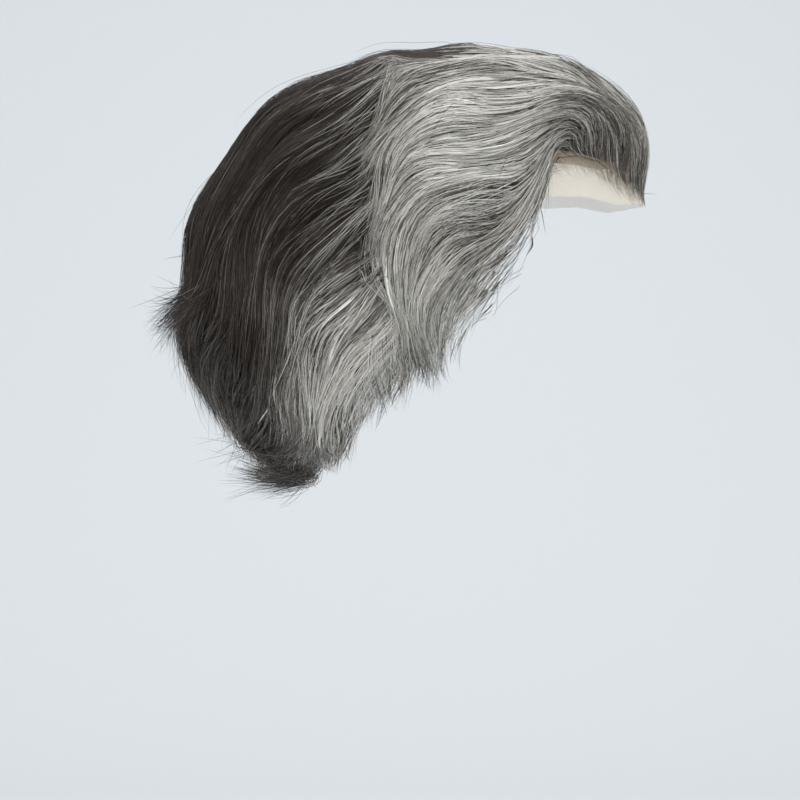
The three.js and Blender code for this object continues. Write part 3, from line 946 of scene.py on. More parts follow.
# Tones give the share of grey hairs, which is the hair's own mix of grey and dark. Some of them are also
# painted light: the greyest tones of the upper front also paint the highlight of the top light there, and
# the low tones along the hairline arch also paint the shade under the arch over the roots.
TONES = {
    Lay.SWEPT: (
        Tone(102, -49, 0.25), Tone(100, -36, 0.40), Tone(92, -52, 0.15), Tone(81, -46, 0.12),
        Tone(70, -42, 0.18), Tone(80, -32, 0.34), Tone(66, -32, 0.42), Tone(72, -22, 0.48),
        Tone(94, -14, 0.60), Tone(78, -3, 0.45), Tone(62, 1, 0.45), Tone(49, 4, 0.65),
        Tone(26, 4, 0.72), Tone(3, 3, 0.52), Tone(60, -12, 0.80), Tone(46, -12, 0.90),
        Tone(30, -15, 0.93), Tone(10, -18, 0.85), Tone(-5, -30, 0.66), Tone(30, -35, 0.92),
        Tone(10, -45, 0.93), Tone(50, -30, 0.80), Tone(40, -47, 0.85), Tone(-15, -50, 0.54),
        Tone(-18, -80, 0.54), Tone(-14, -20, 0.40), Tone(10, -75, 0.92), Tone(0, -95, 0.92),
        Tone(30, -70, 0.75), Tone(47, -60, 0.55), Tone(38, -84, 0.55), Tone(22, -105, 0.75),
        Tone(10, -125, 0.75), Tone(0, -120, 0.80), Tone(12, -145, 0.65),
    ),
    Lay.FALLING: (
        Tone(-20, 5, 0.03), Tone(-60, -20, 0.02), Tone(-100, -60, 0.03), Tone(-60, -60, 0.03),
        Tone(-35, -45, 0.05), Tone(-30, -70, 0.10), Tone(-60, -90, 0.09), Tone(-40, -98, 0.40),
        Tone(-60, -120, 0.45), Tone(-30, -115, 0.95), Tone(-18, -130, 1.0), Tone(-35, -150, 1.0),
        Tone(-50, -165, 0.88), Tone(-45, -180, 0.75), Tone(-80, -130, 0.10), Tone(-100, -110, 0.05),
        Tone(-112, -132, 0.16), Tone(-92, -160, 0.40), Tone(-75, -180, 0.40), Tone(-60, -192, 0.15),
        Tone(-90, -193, 0.12),
    ),
}


@dataclass(frozen=True)
class Tongue:
    """The dark hair of the crown that runs forward into the silver along the middle."""

    half_width: float = 0.026
    end: float = -0.012
    length: float = 0.032
    depth: float = 0.92
    edge: tuple[float, float] = (1.25, 0.55)

    def darkened(self, grey: np.ndarray, points: np.ndarray) -> np.ndarray:
        """Takes grey hairs out of the tongue.

        Args:
            grey: The share of grey hairs at each point.
            points: Points of the hair.

        Returns:
            The new share.
        """
        ahead = np.maximum(points[..., 0] - self.end, 0) / self.length
        off = np.hypot(points[..., 1] / self.half_width, ahead)
        return grey * (1 - self.depth * smoothstep(*self.edge, off))


def grey_share(points: np.ndarray, lay: Lay, spread: float = 0.012) -> np.ndarray:
    """Reads the share of grey hairs off the tones of the side view.

    Args:
        points: Points of the hair.
        lay: The way of combing.
        spread: How far a tone reaches.

    Returns:
        The share of grey hairs at each point.
    """
    weights = np.zeros(points.shape[:-1])
    total = np.zeros(points.shape[:-1])
    for tone in TONES[lay]:
        square = (points[..., 0] - tone.x * MM) ** 2 + (points[..., 2] - tone.z * MM) ** 2
        weight = 1.0 / (square + spread ** 2) ** 2
        weights += weight
        total += weight * tone.grey
    grey = total / weights
    if lay is Lay.SWEPT:
        grey = Tongue().darkened(grey, points)
    return grey


@dataclass
class Strands:
    """Centre lines of many strands, ready to become one mesh."""

    centres: np.ndarray
    outward: np.ndarray
    width: np.ndarray
    height: np.ndarray
    hairs: float
    grey: np.ndarray
    along: np.ndarray
    tint: np.ndarray

    STRIP = (0.1, 0.9)
    LEVELS = (0.1, 0.88)
    ROOT_MAP = ((0.1, 0.02), (0.9, 0.02), (0.5, 0.08))
    CELL = (0.04, 0.92)

    def mesh_arrays(self) -> dict[str, np.ndarray]:
        """Works out the tubes round the centre lines.

        Each tube has three sides, a flat end at the root and a point at the tip.

        Returns:
            Vertices, triangles, map coordinates and the strands' own values.
        """
        count, rings, _ = self.centres.shape
        way = unit(np.gradient(self.centres, axis=1))
        side = unit(np.cross(way, self.outward))
        top = unit(np.cross(side, way))
        half = self.width[..., None] / 2
        corners = np.stack([self.centres + top * self.height[..., None], self.centres + side * half,
                            self.centres - side * half], axis=2)
        body = corners[:, :-1].reshape(count, -1, 3)
        vertices = np.concatenate([body, self.centres[:, -1:]], axis=1)
        ring = np.arange(rings - 1) * 3
        faces, maps = [], []
        strip = (np.arange(3)[:, None] + np.array(self.STRIP)) / 3
        level = self.LEVELS[0] + self.LEVELS[1] * np.arange(rings) / (rings - 1)
        for corner in range(3):
            other = (corner + 1) % 3
            low, high = strip[corner]
            for k in range(rings - 2):
                a, b = ring[k] + corner, ring[k] + other
                c, d = ring[k + 1] + other, ring[k + 1] + corner
                faces += [(a, b, c), (a, c, d)]
                maps += [((low, level[k]), (high, level[k]), (high, level[k + 1])),
                         ((low, level[k]), (high, level[k + 1]), (low, level[k + 1]))]
            faces.append((ring[-1] + corner, ring[-1] + other, 3 * (rings - 1)))
            maps.append(((low, level[-2]), (high, level[-2]), ((low + high) / 2, level[-1])))
        faces.append((0, 2, 1))
        maps.append(self.ROOT_MAP)
        per = vertices.shape[1]
        triangles = (np.array(faces)[None] + per * np.arange(count)[:, None, None]).reshape(-1, 3)
        columns = math.ceil(math.sqrt(count))
        cell = np.stack([np.arange(count) % columns, np.arange(count) // columns], axis=1)[:, None, None]
        uv = (self.CELL[0] + self.CELL[1] * np.array(maps)[None] + cell) / columns
        across = np.tile(np.array([0.5, 1.0, 0.0]), rings - 1)
        grain = np.empty((count, per, 3))
        grain[..., 0] = np.append(across, 0.5)[None] * self.hairs
        grain[..., 1] = np.append(np.repeat(self.along[:, :-1], 3, axis=1), self.along[:, -1:], axis=1)
        grain[..., 2] = self.tint[:, None]
        grey = np.append(np.repeat(self.grey[:, :-1], 3, axis=1), self.grey[:, -1:], axis=1)
        return {"vertices": vertices.reshape(-1, 3), "triangles": triangles, "uv": uv.reshape(-1, 2),
                "grain": grain.reshape(-1, 3), "grey": grey.reshape(-1)}


def mesh_object(name: str, parts: list[dict[str, np.ndarray]]) -> bpy.types.Object:
    """Joins strands into one mesh object.

    Args:
        name: The piece's name.
        parts: What Strands.mesh_arrays gives, for each kind of strand.

    Returns:
        The new object, linked to the scene.
    """
    firsts = np.cumsum([0] + [len(part["vertices"]) for part in parts[:-1]])
    triangles = np.concatenate([part["triangles"] + first for part, first in zip(parts, firsts)])
    columns = ("vertices", "grain", "grey")
    vertices, grain, grey = (np.concatenate([part[key] for part in parts]) for key in columns)
    share = 1.0 / len(parts)
    uv = np.concatenate([part["uv"] * [share, 1.0] + [k * share, 0.0] for k, part in enumerate(parts)])
    mesh = bpy.data.meshes.new(name)
    mesh.vertices.add(len(vertices))
    mesh.vertices.foreach_set("co", vertices.astype(np.float32).ravel())
    mesh.loops.add(triangles.size)
    mesh.loops.foreach_set("vertex_index", triangles.astype(np.int32).ravel())
    mesh.polygons.add(len(triangles))
    mesh.polygons.foreach_set("loop_start", np.arange(0, triangles.size, 3, dtype=np.int32))
    mesh.update(calc_edges=True)
    mesh.uv_layers.new(name="OFBake").uv.foreach_set("vector", uv.astype(np.float32).ravel())
    own = mesh.attributes.new("grain", "FLOAT_VECTOR", "POINT")
    own.data.foreach_set("vector", grain.astype(np.float32).ravel())
    share_of_grey = mesh.attributes.new("grey", "FLOAT", "POINT")
    share_of_grey.data.foreach_set("value", grey.astype(np.float32).ravel())
    piece = bpy.data.objects.new(name, mesh)
    bpy.context.collection.objects.link(piece)
    return piece


def select_only(piece: bpy.types.Object) -> None:
    """Selects one object and makes it active.

    Args:
        piece: The object.
    """
    bpy.ops.object.select_all(action="DESELECT")
    piece.select_set(True)
    bpy.context.view_layer.objects.active = piece


@dataclass
class Combing:
    """Grows the strands of each tress over the measured form.

    Lengths are in metres, and pairs are the two ends of a range or of a soft step.
    """

    form: HairForm
    clump_count: int = 1500
    step: float = 0.004
    most_steps: int = 32
    shortest: float = 0.012
    smooth_passes: int = 2
    head_radius: float = 0.1
    root_rise: float = 0.014
    root_crowding: float = 0.5
    inner_start: float = 0.0030
    inner_gap: float = 0.0004
    rooted_at_skin: tuple[float, float] = (0.008, 0.003)
    edge_band: float = 0.022
    thin_band: float = 0.022
    ridge_blur: int = 24
    lean_spread: float = 0.6
    phase_spread: float = 0.3
    steady_sway: float = 0.07
    sway: float = 0.12
    sway_length: float = 0.009
    weave_length: float = 0.013
    pulled_along: tuple[float, float] = (0.1, 0.95)
    pulled_inside: tuple[float, float] = (0.4, 0.9)
    clump_depth: float = 0.0015
    chance_power: float = 1.3
    wave: float = 0.0007
    wave_length: float = 0.011
    tuck: float = 0.0013
    tucked_along: tuple[float, float] = (0.7, 1.0)
    curl_spread: float = 0.5
    curled_along: tuple[float, float] = (0.2, 0.9)
    flick_size: tuple[float, float] = (0.3, 0.9)
    flick_unevenness: float = 0.6
    flick_rise: tuple[float, float] = (0.15, 0.35)
    flicked_along: tuple[float, float] = (0.35, 1.0)
    flick_power: float = 1.5
    tail_flick: float = 1.5
    tail_level: tuple[float, float] = (-0.174, -0.186)
    tilt: float = 0.35
    uneven_tone: float = 0.3
    seed: int = 5
    clumps: dict[Lay, np.ndarray] = field(default_factory=dict)

    def __post_init__(self) -> None:
        """Lays down the clumps that the strands gather to."""
        draw = np.random.default_rng(self.seed)
        self.clump_starts = self.form.roots(self.clump_count, self.form.covered, 0, draw)
        self.clump_draws = draw.uniform(-1, 1, (self.clump_count, len(Shared)))
        sway = self._sway(self.clump_draws[:, Shared.LEAN], self.clump_draws[:, Shared.PHASE])
        for lay in Lay:
            self.clumps[lay] = self.form.comb(self.clump_starts, lay, self.most_steps, self.step, sway)
        self.edge_distance = self._edge_distance()
        self.ridge = blurred(self.form.area({CROWN}), self.ridge_blur) * self.form.area({FRONT})

    def _edge_distance(self) -> np.ndarray:
        """Counts the cells from the hair's edge inward, up to the edge band.

        Returns:
            The distance of each cell from the edge.
        """
        cell = 2 * self.form.chart.REACH / self.form.chart.CELLS * self.head_radius
        inside = self.form.covered.copy()
        distance = np.zeros_like(inside)
        for _ in range(int(self.edge_band / cell) + 1):
            distance += inside * cell
            inside = narrowed(inside)
        return blurred(distance, 2)

    def _sway(self, lean: np.ndarray, phase: np.ndarray) -> np.ndarray:
        """Works out how strands wander from side to side.

        Args:
            lean: How much each strand wanders, from -1 to 1.
            phase: Where its wander starts, from -1 to 1.

        Returns:
            The sideways share at each step of each strand.
        """
        along = np.arange(self.most_steps) * self.step
        turn = along[None] / self.sway_length + phase[:, None] * math.pi
        return self.steady_sway * lean[:, None] + self.sway * lean[:, None] * np.sin(turn)

    def _own_sway(self, area: Area, starts: np.ndarray, clump: np.ndarray, chance: np.ndarray) -> np.ndarray:
        """Works out how the strands of an area wander, each round its clump.

        Args:
            area: The part of the head.
            starts: Unit directions of the roots.
            clump: Each strand's clump.
            chance: Each strand's own numbers from 0 to 1.

        Returns:
            The sideways share at each step of each strand.
        """
        centred = chance - 0.5
        lean = self.clump_draws[clump, Shared.LEAN] + self.lean_spread * centred[:, Chance.LEAN]
        phase = self.clump_draws[clump, Shared.PHASE] + self.phase_spread * centred[:, Chance.PHASE]
        fan = area.scatter * centred[:, Chance.FAN]
        weave = area.ragged * self.form.chart.read(self.ridge, starts) * centred[:, Chance.TILT]
        along = np.arange(self.most_steps)[None] * self.step
        bend = np.cos(along / self.weave_length + 2 * math.pi * chance[:, Chance.FAN][:, None])
        return self._sway(lean, phase) + fan[:, None] + weave[:, None] * bend

    def _density(self, tress: Tress) -> np.ndarray:
        """Works out how thickly a tress is rooted over the chart.

        Args:
            tress: The section of hair.

        Returns:
            The density of each cell.
        """
        area = tress.area
        density = self.form.near(set(area.nodes), area.root_spread, area.spill).astype(float)
        if tress.rooted_in:
            density *= self.form.area(set(tress.rooted_in))
        if area.rim_only:
            density *= self.edge_distance < area.rim_only
        if area.ragged:
            density *= 1 - self.ridge
        return density * (1 - area.thin_edge * smoothstep(self.thin_band, 0.0, self.edge_distance))

    def _nearest_clump(self, starts: np.ndarray) -> np.ndarray:
        """Finds the clump whose root is nearest to each root.

        Args:
            starts: Unit directions of the roots.

        Returns:
            The number of each root's clump.
        """
        nearest = np.empty(len(starts), int)
        for first in range(0, len(starts), BATCH):
            part = starts[first:first + BATCH]
            nearest[first:first + BATCH] = (part @ self.clump_starts.T).argmax(axis=1)
        return nearest

    def grow(self, tress: Tress, kind: Kind, count: int) -> Strands:
        """Grows one kind of strand of a tress.

        Args:
            tress: The section of hair.
            kind: The kind of strand.
            count: How many.

        Returns:
            The strands.
        """
        area, cut = tress.area, CUTS[kind]
        draw = np.random.default_rng(tress.seed * 10 + list(Kind).index(kind))
        starts = self.form.roots(count, self._density(tress), tress.side, draw)
        clump = self._nearest_clump(starts)
        chance = draw.uniform(0, 1, (count, len(Chance)))
        sway = self._own_sway(area, starts, clump, chance)
        paths = self.form.comb(starts, area.lay, self.most_steps, self.step, sway)
        length, ends_inside = self._lengths(paths, area, chance, cut)
        share = np.linspace(0, 1, cut.points)
        near_edge = smoothstep(self.thin_band, 0.0, self.form.chart.read(self.edge_distance, starts))
        along = length[:, None] * share[None] ** (1 + self.root_crowding * near_edge[:, None])
        ways = self._gathered(self._at(paths, along), along, share, area, clump, chance)
        reach = self._reach(ways, along, share, chance, clump, cut, ends_inside)
        reach = reach + area.raise_by * share[None] ** 0.5
        centres = EAR_AXIS + ways * reach[..., None]
        centres = centres + self._flicked(centres, share, area, chance[:, Chance.DEPTH], clump)
        loose = draw.normal(0, 1, (count, 1, 3)) * cut.loose
        centres = centres + loose * share[None, :, None] ** 2
        for _ in range(self.smooth_passes):
            centres[:, 1:-1] = (centres[:, :-2] + 2 * centres[:, 1:-1] + centres[:, 2:]) / 4
        taper = tapered(share, cut.tip)
        low, high = cut.width
        width = (low + (high - low) * chance[:, Chance.WIDTH])[:, None] * taper[None]
        outward = self._outward(centres, ways, chance)
        uneven = 1 + self.uneven_tone * self.clump_draws[clump, Shared.TONE][:, None]
        grey = np.clip(grey_share(centres, area.tone) * uneven * area.darker, 0, 1)
        tint = draw.uniform(0, 1, count)
        return Strands(centres, outward, width, cut.heights(taper, count), cut.hairs, grey, along, tint)

    def curl(self, curl: Curl, kind: Kind, count: int) -> Strands:
        """Bends one kind of strand out from the nape.

        Args:
            curl: The row of strands.
            kind: The kind of strand.
            count: How many.

        Returns:
            The strands.
        """
        draw = np.random.default_rng(curl.seed * 10 + list(Kind).index(kind))
        cut = CUTS[kind]
        share = np.linspace(0, 1, cut.points)
        round_head = np.radians(draw.uniform(-curl.breadth, curl.breadth, count))
        places = []
        for (turn, lift), loose in zip((curl.root, curl.bend, curl.tip), curl.looseness):
            at = np.radians(turn + curl.loose_turn * loose * draw.normal(0, 1, count))
            across = round_head + curl.loose_across * loose * draw.normal(0, 1, count)
            way = np.stack([np.cos(at) * np.cos(across), np.cos(at) * np.sin(across), np.sin(at)], axis=1)
            reach = self.form.chart.read(self.form.outer, way) + lift
            reach = reach + curl.loose_lift * loose * draw.normal(0, 1, count)
            inner = self.form.chart.read(self.form.inner, way)
            places.append(EAR_AXIS + way * np.maximum(reach, inner)[:, None])
        root, bend, tip = (place[:, None] for place in places)
        part = share[None, :, None]
        centres = root * (1 - part) ** 2 + 2 * bend * part * (1 - part) + tip * part ** 2
        taper = tapered(share, curl.taper)
        width = draw.uniform(*cut.width, (count, 1)) * taper[None]
        outward = np.repeat(unit(bend - EAR_AXIS), cut.points, axis=1)
        along = np.repeat((share * curl.length)[None], count, axis=0)
        grey = grey_share(centres, Lay.FALLING)
        tint = draw.uniform(0, 1, count)
        return Strands(centres, outward, width, cut.heights(taper, count), cut.hairs, grey, along, tint)

    def _lengths(self, paths: np.ndarray, area: Area, chance: np.ndarray,
                 cut: Cut) -> tuple[np.ndarray, np.ndarray]:
        """Ends each strand at its own length or near the hair's edge.

        Args:
            paths: Unit directions along each strand.
            area: The part of the head.
            chance: Each strand's own numbers from 0 to 1.
            cut: The sizes of the kind of strand.

        Returns:
            The length of each strand, and 1 where it ends inside the sheet of hair.
        """
        own = area.length[0] + (area.length[1] - area.length[0]) * chance[:, Chance.LENGTH]
        past = chance[:, Chance.PAST_EDGE] ** self.chance_power
        open_end = np.zeros(len(paths), bool)
        sheet = self.form.area(set(area.onto))
        for inside, (low, high) in ((self.form.covered, area.past_rim), (sheet, area.past)):
            out = self.form.chart.read(inside, paths) < 0.5
            left = np.logical_and(out, np.cumsum(~out, axis=1) > 0)
            first = np.where(left.any(axis=1), left.argmax(axis=1), self.most_steps * 2) * self.step
            first = np.where(out.all(axis=1), 0.0, first)
            edge = first - cut.short + low + (high - low) * past
            open_end |= edge < own
            own = np.minimum(own, edge)
        return np.clip(own, self.shortest, self.most_steps * self.step), (~open_end).astype(float)

    def _at(self, paths: np.ndarray, along: np.ndarray) -> np.ndarray:
        """Reads strands at some lengths from their roots.

        Args:
            paths: Unit directions along each strand, a step apart.
            along: The lengths.

        Returns:
            Unit directions there.
        """
        at = np.clip(along / self.step, 0, paths.shape[1] - 1.001)
        low = at.astype(int)
        rows = np.arange(len(paths))[:, None]
        mixed = paths[rows, low] + (paths[rows, low + 1] - paths[rows, low]) * (at - low)[..., None]
        return unit(mixed)

    def _gathered(self, ways: np.ndarray, along: np.ndarray, share: np.ndarray, area: Area,
                  clump: np.ndarray, chance: np.ndarray) -> np.ndarray:
        """Pulls strands towards their clumps.

        Args:
            ways: Unit directions along each strand.
            along: Lengths from the root.
            share: The same as shares of the whole length.
            area: The part of the head.
            clump: Each strand's clump.
            chance: Each strand's own numbers from 0 to 1.

        Returns:
            The new directions.
        """
        pull = area.pull[0] + (area.pull[1] - area.pull[0]) * chance[:, Chance.PULL]
        pull = pull[:, None] * smoothstep(*self.pulled_along, share)[None]
        gathered = self._at(self.clumps[area.lay][clump], along)
        covered = self.form.chart.read(self.form.covered, gathered)
        pull = pull * smoothstep(*self.pulled_inside, covered)
        return unit(ways + (gathered - ways) * pull[..., None])

    def _reach(self, ways: np.ndarray, along: np.ndarray, share: np.ndarray, chance: np.ndarray,
               clump: np.ndarray, cut: Cut, ends_inside: np.ndarray) -> np.ndarray:
        """Works out how far from the ear axis each strand lies.

        Args:
            ways: Unit directions along each strand.
            along: Lengths from the root.
            share: The same as shares of the whole length.
            chance: Each strand's own numbers from 0 to 1.
            clump: Each strand's clump.
            cut: The sizes of the kind of strand.
            ends_inside: 1 where a strand's tip lies inside the sheet of hair.

        Returns:
            The reach at each point.
        """
        read = self.form.chart.read
        shared = self.clump_draws[clump]
        deep = chance[:, Chance.DEPTH][:, None]
        outer = read(self.form.outer, ways)
        inner = read(self.form.inner, ways) + self.inner_gap
        curl = read(self.form.curl, ways) * smoothstep(*self.curled_along, share)[None]
        curl = curl * (1 - self.curl_spread * deep)
        depth = cut.depth[0] + (cut.depth[1] - cut.depth[0]) * deep ** self.chance_power
        depth = depth + self.clump_depth * 0.5 * (1 + shared[:, Shared.DEPTH][:, None])
        phase = along / self.wave_length + shared[:, Shared.TONE][:, None] * math.pi
        wave = shared[:, Shared.WAVE][:, None] * self.wave * np.sin(phase)
        at_edge = smoothstep(*self.rooted_at_skin, read(self.edge_distance, ways[:, :1]))
        start = np.maximum(outer - self.inner_start, inner)
        start = start + (inner - start) * at_edge
        rise = smoothstep(0.0, self.root_rise, along)
        tucked = self.tuck * smoothstep(*self.tucked_along, share)[None] * ends_inside[:, None]
        tucked = tucked * (0.5 + chance[:, Chance.TUCK][:, None])
        full = np.maximum(outer + curl - depth + wave - tucked, inner)
        return start + (full - start) * rise

    def _outward(self, centres: np.ndarray, ways: np.ndarray, chance: np.ndarray) -> np.ndarray:
        """Works out which way each strand's upper edge faces.

        Args:
            centres: Points of the strands.
            ways: Unit directions along each strand.
            chance: Each strand's own numbers from 0 to 1.

        Returns:
            Unit vectors away from the head, a little tilted.
        """
        tilt = (chance[:, Chance.TILT] - 0.5) * self.tilt
        way = unit(np.gradient(centres, axis=1))
        normal = unit(self.form.chart.read(self.form.normal, ways))
        return unit(normal + np.cross(way, normal) * tilt[:, None, None])

    def _flicked(self, centres: np.ndarray, share: np.ndarray, area: Area, chance: np.ndarray,
                 clump: np.ndarray) -> np.ndarray:
        """Turns the tips at the nape outward.

        Args:
            centres: Points of the strands.
            share: Shares of their length.
            area: The part of the head.
            chance: A number from 0 to 1 for each strand.
            clump: Each strand's clump.

        Returns:
            How far each point moves.
        """
        shared = self.clump_draws[clump]
        size = area.flick * (self.flick_size[0] + self.flick_size[1] * chance)
        size = size * (1.0 + self.flick_unevenness * shared[:, Shared.WAVE])
        size = size * (1 + self.tail_flick * smoothstep(*self.tail_level, centres[:, -1, 2]))
        out = unit((centres[:, -1] - EAR_AXIS) * [1, 1, 0])
        out[:, 2] = self.flick_rise[0] + self.flick_rise[1] * shared[:, Shared.RISE]
        bent = smoothstep(*self.flicked_along, share)[None] ** self.flick_power
        return (size[:, None] * bent)[..., None] * out[:, None]


class NodeSheet:
    """Lays out the nodes of one material."""

    def __init__(self, name: str) -> None:
        """Starts a material with its principled shader.

        Args:
            name: The material's name.
        """
        self.material = bpy.data.materials.new(name)
        self.material.use_nodes = True
        self.tree = self.material.node_tree
        self.shader = self.tree.nodes["Principled BSDF"]

    def add(self, kind: str, settings: dict[str, object] | None = None, **links: object) -> bpy.types.Node:
        """Adds a node.

        Args:
            kind: The node's type.
            settings: Values of the node's own settings.
            **links: For each input, named i0, i1 and so on, a socket to link or a value.

        Returns:
            The node.
        """
        node = self.tree.nodes.new(kind)
        for key, value in (settings or {}).items():
            setattr(node, key, value)
        for key, value in links.items():
            socket = node.inputs[int(key[1:])]
            if isinstance(value, bpy.types.NodeSocket):
                self.tree.links.new(value, socket)
            else:
                socket.default_value = value
        return node

    def maths(self, operation: str, first: object, second: object = 0.0) -> bpy.types.NodeSocket:
        """Adds a Math node and gives its output."""
        return self.add("ShaderNodeMath", {"operation": operation}, i0=first, i1=second).outputs[0]

    def mix(self, share: object, first: object, second: object) -> bpy.types.NodeSocket:
        """Adds a mix of two colours.

        Args:
            share: The share of the second colour.
            first: The first colour.
            second: The second colour.

        Returns:
            The mixed colour's socket.
        """
        node = self.tree.nodes.new("ShaderNodeMix")
        node.data_type = "RGBA"
        for index, value in ((0, share), (6, first), (7, second)):
            if isinstance(value, bpy.types.NodeSocket):
                self.tree.links.new(value, node.inputs[index])
            else:
                node.inputs[index].default_value = value
        return node.outputs[2]

    def set(self, **values: object) -> None:
        """Sets or links the shader's inputs.

        Args:
            **values: For each input, named with _ for spaces, a socket to link or a value.
        """
        for key, value in values.items():
            socket = self.shader.inputs[key.replace("_", " ")]
            if isinstance(value, bpy.types.NodeSocket):
                self.tree.links.new(value, socket)
            else:
                socket.default_value = value


Colour = tuple[float, float, float, float]


@dataclass(frozen=True)
class HairFinish:
    """Grey and dark hairs mixed within each strand."""

    name: str
    white: Colour
    silver: Colour
    dark: Colour
    deep: Colour
    roughness: float = 0.48
    specular: float = 0.35
    # Painted shade: root_shade and root_length darken each strand towards its deep colour over its first
    # length, where it rises from under the other hair.
    root_shade: float = 0.35
    root_length: float = 0.014

    def material(self) -> bpy.types.Material:
        """Builds the material.

        Returns:
            A material that reads the strands' own grain and share of grey.
        """
        sheet = NodeSheet(self.name)
        grain = sheet.add("ShaderNodeAttribute", {"attribute_name": "grain"}).outputs["Vector"]
        grey = sheet.add("ShaderNodeAttribute", {"attribute_name": "grey"}).outputs["Fac"]
        split = sheet.add("ShaderNodeSeparateXYZ", i0=grain)
        across, along, tint = split.outputs
        hair = sheet.maths("FLOOR", across)
        which = sheet.add("ShaderNodeCombineXYZ", i0=hair, i1=tint, i2=0.5).outputs[0]
        chance = sheet.add("ShaderNodeTexWhiteNoise", {"noise_dimensions": "3D"}, i0=which)
        shade = sheet.add("ShaderNodeSeparateXYZ", i0=chance.outputs["Color"])
        is_grey = sheet.maths("LESS_THAN", chance.outputs["Value"], grey)
        light = sheet.mix(shade.outputs[0], self.silver, self.white)
        dark = sheet.mix(shade.outputs[1], self.deep, self.dark)
        colour = sheet.mix(is_grey, dark, light)
        # painted shade at the root: the colour fades into the deep colour over root_length
        root = sheet.add("ShaderNodeMapRange", {"interpolation_type": "SMOOTHSTEP"}, i0=along, i1=0.0,
                         i2=self.root_length, i3=self.root_shade, i4=0.0).outputs[0]
        sheet.set(Base_Color=sheet.mix(root, colour, self.deep), Roughness=self.roughness)
        sheet.set(Specular_IOR_Level=self.specular)
        edge = sheet.maths("SINE", sheet.maths("MULTIPLY", across, 2 * math.pi))
        bump = sheet.add("ShaderNodeBump", i0=0.35, i1=0.0001)
        sheet.tree.links.new(edge, bump.inputs["Height"])
        sheet.set(Normal=bump.outputs[0])
        return sheet.material


@dataclass(frozen=True)
class ShadedUnderFinish:
    """The hair under the outer strands, in painted shade: its colours are much darker than those of the
    strands over it.
    """

    name: str
    grey: Colour
    dark: Colour
    deep: Colour = (0.006, 0.0045, 0.004, 1)
    roughness: float = 0.8
    streaks: tuple[float, float, float] = (1500.0, 1500.0, 70.0)

    def material(self) -> bpy.types.Material:
        """Builds the material.

        Returns:
            The material.
        """
        sheet = NodeSheet(self.name)
        share = sheet.add("ShaderNodeAttribute", {"attribute_name": "grey"}).outputs["Fac"]
        place = sheet.add("ShaderNodeTexCoord").outputs["Object"]
        drawn = sheet.add("ShaderNodeMapping", i0=place, i3=self.streaks).outputs[0]
        noise = sheet.add("ShaderNodeTexNoise", i0=drawn, i2=1.0, i3=2.0).outputs["Fac"]
        streak = sheet.add("ShaderNodeMapRange", i0=noise, i1=0.38, i2=0.62, i3=0.25, i4=1.0).outputs[0]
        base = sheet.mix(share, self.dark, self.grey)
        sheet.set(Base_Color=sheet.mix(streak, self.deep, base), Roughness=self.roughness)
        sheet.set(Specular_IOR_Level=0.2)
        bump = sheet.add("ShaderNodeBump", i0=0.7, i1=0.0003)
        sheet.tree.links.new(noise, bump.inputs["Height"])
        sheet.set(Normal=bump.outputs[0])
        return sheet.material


@dataclass(frozen=True)
class NetFinish:
    """A fine woven net."""

    name: str
    thread: Colour
    gap: Colour
    roughness: float
    pitch: float = 0.0009
    cover: float = 1.0

    def material(self) -> bpy.types.Material:
        """Builds the material.

        Returns:
            A material with a fine net of raised threads.
        """
        sheet = NodeSheet(self.name)
        place = sheet.add("ShaderNodeTexCoord").outputs["Object"]
        cells = sheet.add("ShaderNodeTexVoronoi", {"feature": "DISTANCE_TO_EDGE"})
        sheet.tree.links.new(place, cells.inputs["Vector"])
        cells.inputs["Scale"].default_value = 1.0 / self.pitch
        thread = sheet.add("ShaderNodeMapRange", i0=cells.outputs[0], i1=0.05, i2=0.18, i3=1.0,
                           i4=0.0).outputs[0]
        colour = sheet.mix(thread, self.gap, self.thread)
        sheet.set(Base_Color=colour, Roughness=self.roughness, Alpha=self.cover)
        bump = sheet.add("ShaderNodeBump", i0=0.4, i1=0.0002)
        sheet.tree.links.new(thread, bump.inputs["Height"])
        sheet.set(Normal=bump.outputs[0])
        return sheet.material


@dataclass(frozen=True)
class PlainFinish:
    """The pale paint of the studio."""

    name: str
    colour: Colour
    roughness: float = 0.9

    def material(self) -> bpy.types.Material:
        """Builds the material.

        Returns:
            The material.
        """
        sheet = NodeSheet(self.name)
        sheet.set(Base_Color=self.colour, Roughness=self.roughness)
        return sheet.material


SILVER_HAIR = HairFinish("silver_hair", white=(0.80, 0.785, 0.73, 1), silver=(0.38, 0.37, 0.335, 1),
                         dark=(0.090, 0.076, 0.060, 1), deep=(0.030, 0.023, 0.0175, 1))
ASH_HAIR = HairFinish("ash_hair", white=(0.82, 0.80, 0.75, 1), silver=(0.45, 0.43, 0.395, 1),
                      dark=(0.075, 0.062, 0.052, 1), deep=(0.024, 0.019, 0.015, 1))
DARK_HAIR = HairFinish("dark_hair", white=(0.33, 0.31, 0.28, 1), silver=(0.135, 0.125, 0.11, 1),
                       dark=(0.036, 0.025, 0.019, 1), deep=(0.0100, 0.0074, 0.0060, 1), specular=0.25)
# Painted shade: the mat's grey and dark are hair colours darkened as if in shadow, far darker than the
# strands' own.
UNDER_HAIR = ShadedUnderFinish("under_hair", grey=(0.15, 0.142, 0.125, 1), dark=(0.011, 0.008, 0.0065, 1))
CAP_NET = NetFinish("cap_net", thread=(0.50, 0.385, 0.27, 1), gap=(0.31, 0.23, 0.15, 1), roughness=0.7)
LACE_NET = NetFinish("lace_net", thread=(0.88, 0.79, 0.62, 1), gap=(0.78, 0.67, 0.50, 1), roughness=0.5,
                     cover=0.22)
PALE_PAINT = PlainFinish("pale_paint", (0.605, 0.628, 0.640, 1))


